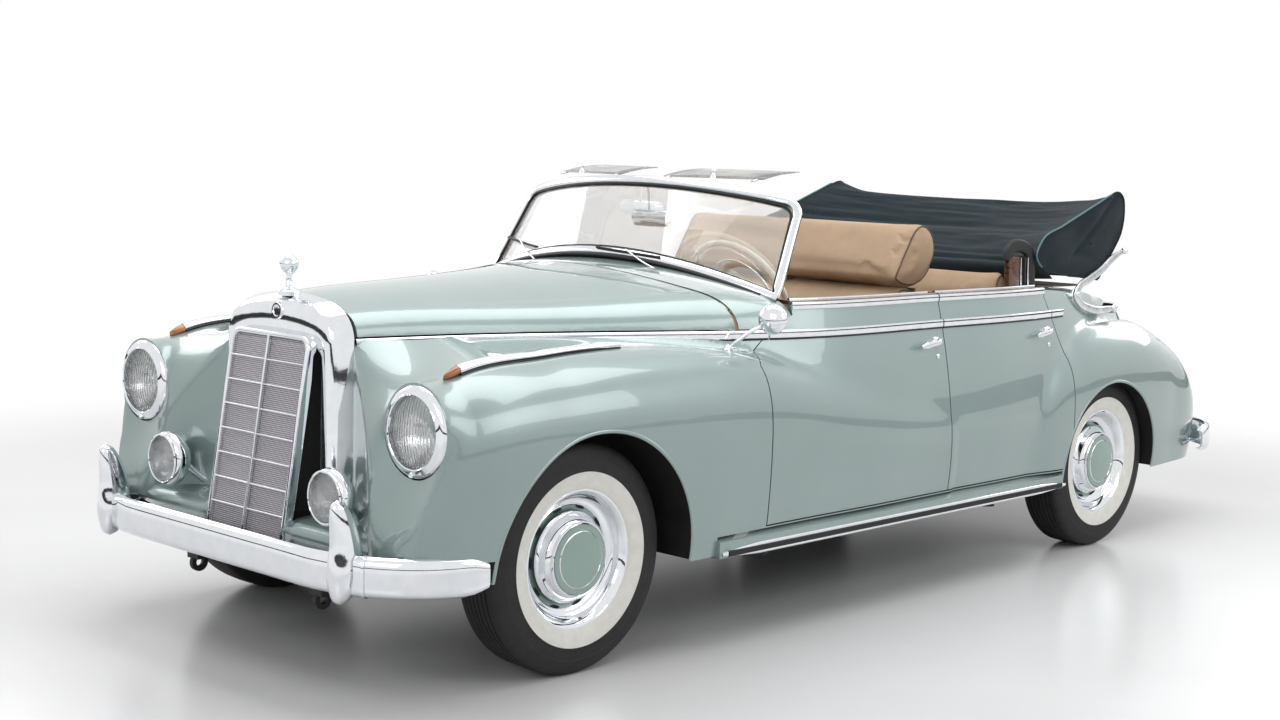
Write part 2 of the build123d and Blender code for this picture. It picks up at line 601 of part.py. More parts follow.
def screen_sheet(thickness, inset):
    """A raked curved sheet, cut to the windscreen's outline drawn in by inset."""
    ring = Cylinder(SCREEN_RADIUS + thickness / 2, 900) - Cylinder(SCREEN_RADIUS - thickness / 2, 900)
    ring = Pos(0, SCREEN_BASE_Y, SCREEN_FOOT_Z + 95) * Rot(-SCREEN_RAKE, 0, 0) * Pos(0, SCREEN_RADIUS, 0) * ring
    low, high = 738 - inset, 700 - inset
    corner = 46
    top = SCREEN_CORNER_Z - inset
    crown = SCREEN_TOP_Z - inset
    base = SCREEN_FOOT_Z - 16 + inset
    face = outline(
        across(SCREEN_BASE_Y - 300), (-low, base), (-high - 6, top - corner),
        ((-high + 8, top - 12), (-high + corner, top)), ((0, crown), (high - corner, top)),
        ((high - 8, top - 12), (high + 6, top - corner)), (low, base), ((0, SCREEN_FOOT_Z + 105 + inset), (-low, base)))
    return prism(face, y=900) & ring


def make_windscreen():
    frame = screen_sheet(SCREEN_FRAME_DEPTH, 0) - screen_sheet(SCREEN_FRAME_DEPTH + 20, SCREEN_FRAME_WIDTH)
    frame -= BONNET_FORM
    glass = screen_sheet(GLASS_THICKNESS, SCREEN_FRAME_WIDTH + FIT)
    return largest(frame), largest(glass)


# Chassis and running gear

def make_chassis():
    """Crossed rails with the cross members, bumper mountings and jacking pads set against them."""
    rail = Part()
    for start, end in zip(CHASSIS_PATH, CHASSIS_PATH[1:]):
        rail += rod(start, end, CHASSIS_RADIUS) + Pos(*end) * Sphere(CHASSIS_RADIUS)
    rails = rail + mirrored(rail)
    rest = Part()
    for side in (-1, 1):
        rest += block(side * IRON_X - 30, side * IRON_X + 30, FRONT_IRON_Y, FRONT_IRON_Y + 20, 250, 420)
        rest += block(side * 285 - 22, side * 285 + 22, FRONT_AXLE_Y - 520, FRONT_AXLE_Y - 470, 310, GRILLE_BOTTOM_Z)
    for y, reach, z in CROSS_TUBES:
        rest += rod((-reach, y, z), (reach, y, z), 30)
    for y in JACKING_Y:
        for side in (-1, 1):
            rest += Pos(side * JACKING_X, y, CHASSIS_Z - 45) * Cylinder(36, 50)
    rest += block(-200, 200, FRONT_AXLE_Y - 650, FRONT_AXLE_Y - 490, GRILLE_BOTTOM_Z - 20, GRILLE_BOTTOM_Z)
    rest += block(-200, 200, FRONT_AXLE_Y - 520, FRONT_AXLE_Y - 490, CHASSIS_Z, GRILLE_BOTTOM_Z)
    rest = rest - rails - tow_discs()
    rails = rails - tow_discs()
    return Compound(children=[*rails.solids(), *rest.solids()])


def tow_discs():
    """The two upright discs that the towing eyes are bored through."""
    disc = rod((IRON_X - 8, TOW_EYE_Y, TOW_EYE_Z), (IRON_X + 8, TOW_EYE_Y, TOW_EYE_Z), 30)
    return disc + mirrored(disc)


def make_tow_eyes():
    """Towing eyes, let into the front bumper irons."""
    return tow_discs() - rod((-1000, TOW_EYE_Y, TOW_EYE_Z), (1000, TOW_EYE_Y, TOW_EYE_Z), TOW_EYE_RADIUS)


def make_floor():
    """Floor with its tunnel, the step behind the rear seat, and the floor of the boot."""
    front = WING_END_Y + SHEET
    step = REAR_AXLE_Y - 260
    tyre_front = REAR_AXLE_Y - TYRE_RADIUS - 40
    half = TUNNEL_HALF_WIDTH + SHEET
    floor = block(-FLOOR_HALF_WIDTH, FLOOR_HALF_WIDTH, front, tyre_front, FLOOR_Z, FLOOR_Z + FLOOR_THICKNESS)
    floor += block(-620, 620, tyre_front - 20, step, FLOOR_Z, FLOOR_Z + FLOOR_THICKNESS)
    floor += block(-half, half, front, step, FLOOR_Z, FLOOR_Z + TUNNEL_HEIGHT + SHEET)
    floor -= block(-TUNNEL_HALF_WIDTH, TUNNEL_HALF_WIDTH, front - 20, step + 20, FLOOR_Z - 20, FLOOR_Z + TUNNEL_HEIGHT)
    floor += block(-620, 620, step, step + SHEET, FLOOR_Z, BOOT_FLOOR_Z)
    floor += block(-620, 620, step, REAR_AXLE_Y + 460, BOOT_FLOOR_Z - SHEET, BOOT_FLOOR_Z)
    tail = (TUB_INNER + REAR_WING_INNER) & block(
        -1, 1000, REAR_AXLE_Y + 400, REAR_AXLE_Y + 850, BOOT_FLOOR_Z - SHEET, BOOT_FLOOR_Z)
    floor -= block(-TUNNEL_HALF_WIDTH, TUNNEL_HALF_WIDTH, step - 20, step + 20, FLOOR_Z - 20, FLOOR_Z + TUNNEL_HEIGHT)
    return floor + tail + mirrored(tail)


def make_front_suspension():
    """Upper and lower wishbones, coil springs and the cross member that carries them."""
    gear = block(-330, 330, FRONT_AXLE_Y - 45, FRONT_AXLE_Y + 45, CHASSIS_Z + CHASSIS_RADIUS, 400)
    for side in (-1, 1):
        for z, spread, inner in ((238, 130, 292), (478, 95, 330)):
            for end in (-1, 1):
                gear += rod((side * inner, FRONT_AXLE_Y + end * spread, z), (side * (KINGPIN_X - 12), FRONT_AXLE_Y, z), 13)
            gear += rod((side * inner, FRONT_AXLE_Y - spread - 20, z), (side * inner, FRONT_AXLE_Y + spread + 20, z), 16)
            gear += Pos(side * KINGPIN_X, FRONT_AXLE_Y, z) * Cylinder(KINGPIN_RADIUS + 14, 34)
        gear += block(side * 310 - 24, side * 310 + 24, FRONT_AXLE_Y - 40, FRONT_AXLE_Y + 40, 225, 495)
        gear += rod((side * 440, FRONT_AXLE_Y, 238), (side * 400, FRONT_AXLE_Y, 560), 52)
        gear += block(side * 440 - 50, side * 440 + 50, FRONT_AXLE_Y - 85, FRONT_AXLE_Y + 85, 226, 242)
        gear -= Pos(side * KINGPIN_X, FRONT_AXLE_Y, 360) * Cylinder(KINGPIN_RADIUS + FIT, 400)
    return gear


def make_knuckle():
    """A left steering knuckle: kingpin post, brake back plate and stub axle."""
    post = Pos(KINGPIN_X, FRONT_AXLE_Y, 358) * Cylinder(KINGPIN_RADIUS, 296)
    plate = rod((KINGPIN_X + 8, FRONT_AXLE_Y, TYRE_RADIUS), (KINGPIN_X + 22, FRONT_AXLE_Y, TYRE_RADIUS), 100)
    boss = rod((KINGPIN_X, FRONT_AXLE_Y, TYRE_RADIUS), (KINGPIN_X + 40, FRONT_AXLE_Y, TYRE_RADIUS), 46)
    stub = rod((KINGPIN_X, FRONT_AXLE_Y, TYRE_RADIUS), (TRACK_FRONT / 2 + 12, FRONT_AXLE_Y, TYRE_RADIUS),
               AXLE_STUB_RADIUS)
    return post + plate + boss + stub


def make_rear_axle():
    """Swing axles: final drive, half shafts in their tubes, springs and brake back plates."""
    gear = Pos(0, REAR_AXLE_Y, TYRE_RADIUS) * Sphere(125)
    gear += rod((0, REAR_AXLE_Y - 200, TYRE_RADIUS), (0, REAR_AXLE_Y + 90, TYRE_RADIUS), 62)
    hub = TRACK_REAR / 2
    for side in (-1, 1):
        gear += rod((0, REAR_AXLE_Y, TYRE_RADIUS), (side * (hub - 75), REAR_AXLE_Y, TYRE_RADIUS), 38)
        gear += rod((side * (hub - 92), REAR_AXLE_Y, TYRE_RADIUS), (side * (hub - 78), REAR_AXLE_Y, TYRE_RADIUS), 100)
        gear += rod((side * (hub - 80), REAR_AXLE_Y, TYRE_RADIUS), (side * (hub - 60), REAR_AXLE_Y, TYRE_RADIUS), 46)
        gear += rod((side * (hub - 100), REAR_AXLE_Y, TYRE_RADIUS), (side * (hub + 12), REAR_AXLE_Y, TYRE_RADIUS),
                    AXLE_STUB_RADIUS)
        gear += rod((side * 430, REAR_AXLE_Y - 60, TYRE_RADIUS), (side * 430, REAR_AXLE_Y - 60, BOOT_FLOOR_Z - SHEET), 55)
        gear += block(side * 430 - 50, side * 430 + 50, REAR_AXLE_Y - 90, REAR_AXLE_Y, TYRE_RADIUS - 20, TYRE_RADIUS + 20)
    return gear


def make_driveline():
    """Engine on the front cross member, gearbox, and the propeller shaft through the tunnel."""
    engine = block(-150, 150, FRONT_AXLE_Y - 260, FRONT_AXLE_Y + 540, 400, 800)
    engine += block(-60, 60, FRONT_AXLE_Y - 240, FRONT_AXLE_Y + 500, 800, 880)
    engine += block(-80, 80, FRONT_AXLE_Y + 500, WING_END_Y - 30, 400, 540)
    shaft = rod((0, WING_END_Y - 60, 402), (0, REAR_AXLE_Y - 200, TYRE_RADIUS + 8), 26)
    return engine + (shaft & block(-100, 100, -3000, REAR_AXLE_Y - 200.3, 0, 1000))


def make_tyre():
    """A tyre about the X axis, its bead bore filled by the wheel."""
    half = TYRE_WIDTH / 2
    return revolve(outline(
        lambda x, r: (x, 0, r), (-66, BEAD_RADIUS), ((-half, 285), (-72, 346)), ((-66, 355), (-52, 357)),
        ((0, TYRE_RADIUS), (52, 357)), ((66, 355), (72, 346)), ((half, 285), (66, BEAD_RADIUS))), Axis.X)


def make_wheel():
    """A pressed wheel with its bright ring and domed hub cap, outer side towards +X."""
    rim = BEAD_RADIUS - FIT
    bore = AXLE_STUB_RADIUS + PIN_FIT
    profile = outline(
        lambda x, r: (x, 0, r), (-66, rim), (-66, rim - 18), (-40, rim - 26), (4, rim - 26), (4, 66), (-48, 60),
        (-48, bore), (14, bore), (14, 0.0), (92, 0.0), ((88, 70), (74, 114)), ((62, 132), (40, 142)), (28, 144),
        ((34, 168), (54, 196)), (66, 214), (72, 217), (74, 208), (66, rim))
    return revolve(profile, Axis.X)


def at_wheel(shape, side, x, y):
    """The left-hand piece set at a wheel, turned over for the right side."""
    piece = Pos(x, y, TYRE_RADIUS) * shape
    return piece if side > 0 else mirrored(piece)


# Inside the cabin

def make_seat(y, depth, cushion_z, back_y, back_lean, back_top, thickness, arm):
    """A bench on its plinth: cushion and back as two soft blocks that meet."""
    foot = FLOOR_Z + FLOOR_THICKNESS
    cushion = block(-arm, arm, y, y + depth, cushion_z - 200, cushion_z)
    cushion = fillet(cushion.edges().filter_by(Axis.X), 45)
    cushion += block(-arm + 30, arm - 30, y + 60, y + depth - 40, foot, cushion_z - 150)
    cushion -= block(-TUNNEL_HALF_WIDTH - SHEET, TUNNEL_HALF_WIDTH + SHEET, y - 10, y + depth + 10,
                     foot - 10, FLOOR_Z + TUNNEL_HEIGHT + SHEET)
    back = prism(outline(
        along(-arm), (back_y, cushion_z + 6), (back_y + back_lean - 30, back_top - 150),
        ((back_y + back_lean + thickness / 2, back_top + 4), (back_y + back_lean + thickness + 6, back_top - 110)),
        (back_y + thickness + 20, cushion_z - 120), (back_y + 70, cushion_z - 120)), x=2 * arm)
    return Compound(children=[*cushion.solids(), *(back - cushion).solids()])


def make_dashboard():
    """A broad wooden board under the windscreen."""
    board = prism(outline(along(-DASH_HALF_WIDTH), (DASH_Y, AIR_BOX_Z + 10), (DASH_Y + 50, AIR_BOX_Z + 16),
                          (DASH_Y + 86, 880), (DASH_Y + 60, 820), (DASH_Y, 850)), x=2 * DASH_HALF_WIDTH)
    return board - make_steering_column()


def steering_axis(distance):
    tilt = math.radians(STEERING_TILT)
    return (STEERING_X, STEERING_Y - math.sin(tilt) * distance, STEERING_Z - math.cos(tilt) * distance)


def make_steering_column():
    return rod(steering_axis(60), steering_axis(488), 24)


def make_steering_wheel():
    """Rim, two spokes and hub on a short shaft."""
    wheel = Rot(0, 0, 45) * Torus(STEERING_RADIUS, 12)
    wheel += Pos(0, 0, -8) * Rot(0, 0, 45) * Cylinder(42, 36)
    for turn in (0, 180):
        wheel += Rot(0, 0, turn) * rod((20, 0, -8), (STEERING_RADIUS, 0, -2), 7)
    wheel += Pos(0, 0, -41.7) * Cylinder(14, 36)
    return Pos(STEERING_X, STEERING_Y, STEERING_Z) * Rot(-STEERING_TILT, 0, 0) * wheel


# Roof, folded

def make_folded_hood():
    """The folded roof, a deep roll of cloth across the tail of the cabin."""
    front = REAR_AXLE_Y - 300
    profile = outline(
        along(-HOOD_HALF_WIDTH), (front, 1080), (front + 300, 1110), ((front + 620, 1240), (front + 665, 1400)),
        ((front + 620, 1474), (front + 530, 1466)), ((front + 280, 1350), (front - 30, 1180)))
    hood = prism(profile, x=2 * HOOD_HALF_WIDTH)
    hood -= block(-570, 570, 0, REAR_SEAT_Y + 472, 0, REAR_SEAT_TOP_Z + 6)
    under = left_half(tub(-FIT)) & block(600, 1000, REAR_CUT_TOP_Y - 100, REAR_AXLE_Y + 800, 900, 1300)
    return largest(hood - under - mirrored(under))


def make_hood_irons():
    """The bent irons on which the roof folds, one each side."""
    y = REAR_AXLE_Y
    iron = outline(
        along(HOOD_HALF_WIDTH + FIT), (y + 290, 1190), ((y + 120, 1120), (y - 120, 1108)),
        ((y - 168, 1070), (y - 120, 1030)), ((y + 60, 985), (y + 230, 1000)), (y + 236, 962),
        ((y + 60, 945), (y - 140, 992)), ((y - 212, 1070), (y - 140, 1142)), ((y + 110, 1160), (y + 270, 1222)))
    return both(prism(iron, x=18) - TUB - REAR_WING)


def main():
    save(make_front_wings(), "front_wings")
    save(make_bonnet(), "bonnet")
    save(largest(make_cowl()), "cowl")
    for front, name in ((True, "front_door"), (False, "rear_door")):
        door = half_door(front)
        save(door, f"{name}_left")
        save(mirrored(door), f"{name}_right")
    save(make_body_sides(), "body_sides")
    save(make_rear_body(), "rear_body")
    save(make_boot_lid(), "boot_lid")
    save(make_sill_strips(), "sill_strips")
    save(make_rear_lamps(), "rear_lamps")
    save(make_radiator_shell(), "radiator_shell")
    save(make_grille(), "grille")
    rings, glasses = make_lamps()
    save(rings, "lamp_rings")
    save(glasses, "lamp_glasses")
    save(bumper(FRONT_BUMPER_Y, 1, BUMPER_HALF_WIDTH, FRONT_AXLE_Y - 420, BUMPER_BOTTOM_Z, 0.30, FRONT_IRON_Y),
         "front_bumper")
    save(bumper(REAR_BUMPER_Y, -1, BUMPER_HALF_WIDTH + 44, REAR_AXLE_Y + 735, BUMPER_BOTTOM_Z + 12, 0.22,
                REAR_AXLE_Y + 1010), "rear_bumper")
    frame, glass = make_windscreen()
    save(frame, "windscreen_frame")
    save(glass, "windscreen_glass")
    save(make_chassis(), "chassis_frame")
    save(make_tow_eyes(), "tow_eyes")
    save(make_floor(), "floor_pan")
    save(block(-330, 330, REAR_AXLE_Y + 250, REAR_AXLE_Y + 760, 400, BOOT_FLOOR_Z - SHEET), "fuel_tank")
    save(make_front_suspension(), "front_suspension")
    save(make_rear_axle(), "rear_axle")
    save(make_driveline(), "driveline")
    knuckle = make_knuckle()
    save(knuckle, "knuckle_left")
    save(mirrored(knuckle), "knuckle_right")
    tyre = make_tyre()
    wheel = make_wheel()
    for end, y, x in (("front", FRONT_AXLE_Y, TRACK_FRONT / 2), ("rear", REAR_AXLE_Y, TRACK_REAR / 2)):
        for side, word in ((1, "left"), (-1, "right")):
            save(at_wheel(tyre, side, x, y), f"tyre_{end}_{word}")
            save(at_wheel(wheel, side, x, y), f"wheel_{end}_{word}")
    save(make_dashboard(), "dashboard")
    save(make_steering_column(), "steering_column")
    save(make_steering_wheel(), "steering_wheel")
    save(make_seat(FRONT_SEAT_Y, 480, 800, FRONT_SEAT_Y + 400, 120, 1356, 190, 600), "front_seat")
    save(make_seat(REAR_SEAT_Y, 420, 790, REAR_SEAT_Y + 300, 60, REAR_SEAT_TOP_Z, 100, 560), "rear_seat")
    save(make_folded_hood(), "folded_hood")
    save(make_hood_irons(), "hood_irons")


main()
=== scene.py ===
# %% [markdown]
# # A grand open car of the early 1950s
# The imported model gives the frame: every panel, wheel and hinge stands where it belongs, in metres.
# This lesson dresses it. It gives the body its filleted skin, then bright work, lamps, wheels, the
# cabin and the folded roof. Each step says what the thing is on the real car and why it is made so.

# %% Load the frame
import json
import math
import random

import bmesh
import bpy
import numpy as np
import mathutils.noise
from mathutils import Matrix, Vector

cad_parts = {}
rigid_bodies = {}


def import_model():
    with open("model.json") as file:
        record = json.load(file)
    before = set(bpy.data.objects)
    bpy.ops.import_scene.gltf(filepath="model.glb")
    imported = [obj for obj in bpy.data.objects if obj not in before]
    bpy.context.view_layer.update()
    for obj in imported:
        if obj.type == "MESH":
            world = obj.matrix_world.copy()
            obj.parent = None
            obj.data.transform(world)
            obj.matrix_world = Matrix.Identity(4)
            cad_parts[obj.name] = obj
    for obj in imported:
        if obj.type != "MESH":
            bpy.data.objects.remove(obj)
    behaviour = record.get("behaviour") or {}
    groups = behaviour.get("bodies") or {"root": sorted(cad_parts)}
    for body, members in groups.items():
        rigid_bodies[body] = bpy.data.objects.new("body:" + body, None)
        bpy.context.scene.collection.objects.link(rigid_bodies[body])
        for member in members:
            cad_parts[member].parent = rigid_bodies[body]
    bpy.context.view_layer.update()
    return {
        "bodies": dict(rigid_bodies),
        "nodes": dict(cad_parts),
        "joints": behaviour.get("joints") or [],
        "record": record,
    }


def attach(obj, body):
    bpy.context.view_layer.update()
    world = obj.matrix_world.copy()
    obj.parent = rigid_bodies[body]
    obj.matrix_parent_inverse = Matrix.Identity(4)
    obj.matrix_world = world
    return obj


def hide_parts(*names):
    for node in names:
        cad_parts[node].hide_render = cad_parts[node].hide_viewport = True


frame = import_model()
NODES = frame["nodes"]
BODY = "car_body"
FRONT_AXLE = -1.675
REAR_AXLE = 1.375

# %% [markdown]
# ## Small helpers
# A hex colour is what a paint chart gives, and shaders want linear light, so one function turns it.
# Another adds a node with its settings and links, which keeps every material short enough to read.


# %% Colour and nodes
def colour(hex_code):
    """An sRGB hex colour as linear red, green, blue and alpha."""
    parts = [int(hex_code[i:i + 2], 16) / 255 for i in (1, 3, 5)]
    return (*[p / 12.92 if p <= 0.04045 else ((p + 0.055) / 1.055) ** 2.4 for p in parts], 1.0)


def node(tree, kind, inputs=None, **settings):
    """Adds a node. An input is a value, or another node's output, which is linked."""
    made = tree.nodes.new("ShaderNode" + kind)
    for name, value in settings.items():
        setattr(made, name, value)
    for name, value in (inputs or {}).items():
        if isinstance(value, bpy.types.NodeSocket):
            tree.links.new(value, made.inputs[name])
        else:
            made.inputs[name].default_value = value
    return made


def stops(ramp_node, *points):
    """Sets a colour ramp: each point is a place and a hex colour or a grey."""
    elements = ramp_node.color_ramp.elements
    while len(elements) < len(points):
        elements.new(0.5)
    for element, (place, value) in zip(elements, points):
        element.position = place
        element.color = colour(value) if isinstance(value, str) else (value, value, value, 1)
    return ramp_node.outputs["Color"]


def material(name, **shader):
    """A material with its tree, its shader and object coordinates, ready for a pattern."""
    made = bpy.data.materials.new(name)
    made.use_nodes = True
    tree = made.node_tree
    surface = tree.nodes["Principled BSDF"]
    for key, value in shader.items():
        surface.inputs[key.replace("_", " ")].default_value = colour(value) if isinstance(value, str) else value
    place = node(tree, "TexCoord").outputs["Object"]
    return made, tree, surface, place


def noise(tree, place, size, detail=3.0, roughness=0.5, **more):
    """A noise whose blobs are about size metres across."""
    return node(tree, "TexNoise", {"Vector": place, "Scale": 1 / size, "Detail": detail,
                                   "Roughness": roughness, **more})


def shade(tree, fac, low, high):
    """A factor turned into a mix of two hex colours or two greys."""
    return stops(node(tree, "ValToRGB", {"Fac": fac}), (0.3, low), (0.7, high))


def spread(tree, fac, low, high):
    """A factor from 0 to 1 turned into a number between low and high."""
    return node(tree, "MapRange", {"Value": fac, "To Min": low, "To Max": high}).outputs["Result"]


def bumped(tree, surface, height, depth, strength=1.0, normal=None):
    """Raises the surface by a height pattern of that depth in metres."""
    inputs = {"Height": height, "Distance": depth, "Strength": strength}
    if normal:
        inputs["Normal"] = normal
    bump = node(tree, "Bump", inputs)
    tree.links.new(bump.outputs["Normal"], surface.inputs["Normal"])
    return bump.outputs["Normal"]


# %% [markdown]
# ## Finishes
# Each finish starts from what it is on the car: cellulose lacquer with fine metal in it, chromium on
# steel, pigmented hide, woven mohair cloth, rubber. A pattern follows object coordinates in metres, so a
# grain has its real width. Wear and dust are faint, because a kept car is polished and brushed.

# %% Paint and bright metal
def lacquer(name, base, deep, flake):
    """Polished two-coat lacquer: a pale green with fine metal flakes under a clear gloss."""
    made, tree, surface, place = material(name, Metallic=0.35, Roughness=0.34, Coat_Weight=1.0,
                                          Coat_Roughness=0.03, Coat_IOR=1.5)
    tone = noise(tree, place, 0.45, 2.0)
    # Real flakes are a tenth of a millimetre; they are drawn 0.7 mm wide so that they show at all
    flakes = node(tree, "TexVoronoi", {"Vector": place, "Scale": 1400.0}, feature="F1")
    body = shade(tree, tone.outputs["Fac"], base, deep)
    spark = node(tree, "Mix", {0: spread(tree, flakes.outputs["Color"], 0.0, 0.16), 6: body, 7: colour(flake)},
                 data_type="RGBA")
    tree.links.new(spark.outputs[2], surface.inputs["Base Color"])
    haze = noise(tree, place, 0.09, 4.0)
    tree.links.new(spread(tree, haze.outputs["Fac"], 0.29, 0.38), surface.inputs["Roughness"])
    # Sprayed lacquer dries with a faint orange peel some 4 mm across
    bumped(tree, surface, noise(tree, place, 0.004, 1.0).outputs["Fac"], 0.00002)
    return made


def plating(name, base, rough, streak=0.35):
    """Plated or polished metal: bright, with the faint cloudiness that polishing leaves."""
    made, tree, surface, place = material(name, Metallic=1.0)
    cloud = noise(tree, place, 0.05, 5.0, 0.6)
    tree.links.new(shade(tree, cloud.outputs["Fac"], base, "#e9ebee"), surface.inputs["Base Color"])
    tree.links.new(spread(tree, cloud.outputs["Fac"], rough, rough * (1 + streak)), surface.inputs["Roughness"])
    bumped(tree, surface, noise(tree, place, 0.02, 2.0).outputs["Fac"], 0.00008)
    return made


PAINT = lacquer("pale_green_lacquer", "#889b99", "#819492", "#c9d6d2")
WHEEL_PAINT = lacquer("pale_green_wheel_enamel", "#8ba39b", "#839a92", "#b4c6bf")
CHROME = plating("chromium_plate", "#dfe2e6", 0.05)
SATIN = plating("satin_nickel", "#b9bbbd", 0.24)
print("paint and plating made")


# %% Glass, rubber, iron and wood
def clear_glass(name, tint, alpha, rough=0.0):
    """Window glass: nearly all the light goes through, and the rest is a sharp reflection."""
    made, tree, surface, place = material(name, Roughness=rough, IOR=1.5, Transmission_Weight=1.0)
    smear = noise(tree, place, 0.12, 4.0)
    tree.links.new(shade(tree, smear.outputs["Fac"], tint, "#fbfdfc"), surface.inputs["Base Color"])
    tree.links.new(spread(tree, smear.outputs["Fac"], rough, rough + 0.02), surface.inputs["Roughness"])
    surface.inputs["Alpha"].default_value = alpha
    return made


def rubber(name, base, dust, rough):
    """Moulded rubber: matt, a little dusty in its hollows."""
    made, tree, surface, place = material(name, Specular_IOR_Level=0.35)
    cloud = noise(tree, place, 0.035, 6.0, 0.65)
    tree.links.new(shade(tree, cloud.outputs["Fac"], base, dust), surface.inputs["Base Color"])
    tree.links.new(spread(tree, cloud.outputs["Fac"], rough - 0.08, rough + 0.1), surface.inputs["Roughness"])
    bumped(tree, surface, noise(tree, place, 0.0012, 2.0).outputs["Fac"], 0.00015)
    return made


def iron(name, base, worn, rough, metal=0.0):
    """Painted or cast iron under the car, with grime and a rough skin."""
    made, tree, surface, place = material(name, Metallic=metal)
    grime = noise(tree, place, 0.06, 8.0, 0.7)
    tree.links.new(shade(tree, grime.outputs["Fac"], base, worn), surface.inputs["Base Color"])
    tree.links.new(spread(tree, grime.outputs["Fac"], rough, rough + 0.25), surface.inputs["Roughness"])
    bumped(tree, surface, noise(tree, place, 0.003, 3.0).outputs["Fac"], 0.0003)
    return made


def veneer(name, pale, dark):
    """Polished walnut veneer: long grain along the board, wavering, under a clear varnish."""
    made, tree, surface, place = material(name, Roughness=0.3, Coat_Weight=0.8, Coat_Roughness=0.06)
    sway = noise(tree, place, 0.25, 3.0)
    bent = node(tree, "VectorMath", {0: place, 1: sway.outputs["Color"]}, operation="ADD")
    stretched = node(tree, "Mapping", {"Vector": bent.outputs[0], "Scale": (1.0, 9.0, 9.0)})
    grain = node(tree, "TexWave", {"Vector": stretched.outputs[0], "Scale": 2.2, "Distortion": 7.0, "Detail": 4.0,
                                   "Detail Scale": 2.0}, bands_direction="Z")
    tree.links.new(shade(tree, grain.outputs["Fac"], dark, pale), surface.inputs["Base Color"])
    tree.links.new(spread(tree, grain.outputs["Fac"], 0.26, 0.42), surface.inputs["Roughness"])
    bumped(tree, surface, grain.outputs["Fac"], 0.00006)
    return made


GLASS = clear_glass("window_glass", "#eef4f2", 0.35)
LENS = clear_glass("pressed_lens_glass", "#f4f6f6", 1.0, 0.04)
TYRE_RUBBER = rubber("tyre_rubber", "#1b1b1c", "#2b2a2a", 0.62)
SEAL = rubber("black_seal_rubber", "#0f1011", "#1c1c1d", 0.5)
WHITEWALL = rubber("white_sidewall_rubber", "#e9e8e3", "#dcdad3", 0.5)
CHASSIS_BLACK = iron("chassis_black_enamel", "#0c0d0e", "#1d1c1b", 0.42)
STEEL = iron("worn_steel", "#4a4a4b", "#6b6866", 0.38, 0.8)
CAST_IRON = iron("cast_iron", "#2b2b2c", "#403d3a", 0.6, 0.5)
WALNUT = veneer("polished_walnut", "#6b4126", "#2f1a0e")
print("glass, rubber, iron and wood made")


# %% Leather, cloth, carpet and ivory plastic
def hide(name, base, worn, grain_size=0.0016, rough=0.46):
    """Pigmented cowhide: pebbled grain about a millimetre and a half wide, softly creased and shaded."""
    made, tree, surface, place = material(name, Specular_IOR_Level=0.4, Sheen_Weight=0.08)
    cells = node(tree, "TexVoronoi", {"Vector": place, "Scale": 1 / grain_size}, feature="DISTANCE_TO_EDGE")
    wear = noise(tree, place, 0.16, 6.0, 0.6)
    creases = noise(tree, place, 0.028, 5.0, 0.62, Distortion=1.2)
    tree.links.new(shade(tree, wear.outputs["Fac"], base, worn), surface.inputs["Base Color"])
    tree.links.new(spread(tree, wear.outputs["Fac"], rough, rough + 0.14), surface.inputs["Roughness"])
    pebble = node(tree, "MapRange", {"Value": cells.outputs["Distance"], "From Max": 0.35}).outputs["Result"]
    first = bumped(tree, surface, pebble, 0.00022)
    bumped(tree, surface, creases.outputs["Fac"], 0.0016, 0.6, first)
    return made


def woven(name, warp, weft, thread, rough=0.85, fuzz=0.35):
    """Close-woven cloth: two sets of threads that cross, with slubs and a soft fuzz."""
    made, tree, surface, place = material(name, Roughness=rough, Sheen_Weight=fuzz, Sheen_Roughness=0.5,
                                          Specular_IOR_Level=0.2)
    turned = node(tree, "Mapping", {"Vector": place, "Rotation": (0.7, 0.4, 0.9)}).outputs[0]
    waves = []
    for direction in ("X", "Z"):
        waves.append(node(tree, "TexWave", {"Vector": turned, "Scale": 0.314 / thread, "Distortion": 0.6},
                          bands_direction=direction).outputs["Fac"])
    cross = node(tree, "Math", {0: waves[0], 1: waves[1]}, operation="MULTIPLY").outputs[0]
    slub = noise(tree, place, 0.05, 5.0, 0.6)
    blend = node(tree, "Math", {0: cross, 1: slub.outputs["Fac"]}, operation="ADD").outputs[0]
    half = node(tree, "Math", {0: blend, 1: 0.62}, operation="MULTIPLY").outputs[0]
    tree.links.new(shade(tree, half, warp, weft), surface.inputs["Base Color"])
    first = bumped(tree, surface, cross, 0.0004)
    bumped(tree, surface, noise(tree, place, 0.09, 5.0, 0.55).outputs["Fac"], 0.004, 0.5, first)
    return made


def pile(name, low, high):
    """Cut-pile carpet: tufts about three millimetres across."""
    made, tree, surface, place = material(name, Roughness=0.95, Sheen_Weight=0.4, Specular_IOR_Level=0.15)
    tufts = node(tree, "TexVoronoi", {"Vector": place, "Scale": 330.0})
    # The carpet is painted lighter on the tufts' tops and darker between them, where they dip: painted shade
    tree.links.new(shade(tree, tufts.outputs["Distance"], high, low), surface.inputs["Base Color"])
    bumped(tree, surface, tufts.outputs["Distance"], -0.002)
    return made


def moulded(name, base, shade_hex, rough):
    """Cast plastic or enamel: even, glossy, faintly clouded inside."""
    made, tree, surface, place = material(name, Coat_Weight=0.5, Coat_Roughness=0.08)
    cloud = noise(tree, place, 0.03, 3.0)
    tree.links.new(shade(tree, cloud.outputs["Fac"], base, shade_hex), surface.inputs["Base Color"])
    tree.links.new(spread(tree, cloud.outputs["Fac"], rough, rough + 0.1), surface.inputs["Roughness"])
    bumped(tree, surface, noise(tree, place, 0.006, 2.0).outputs["Fac"], 0.00003)
    return made


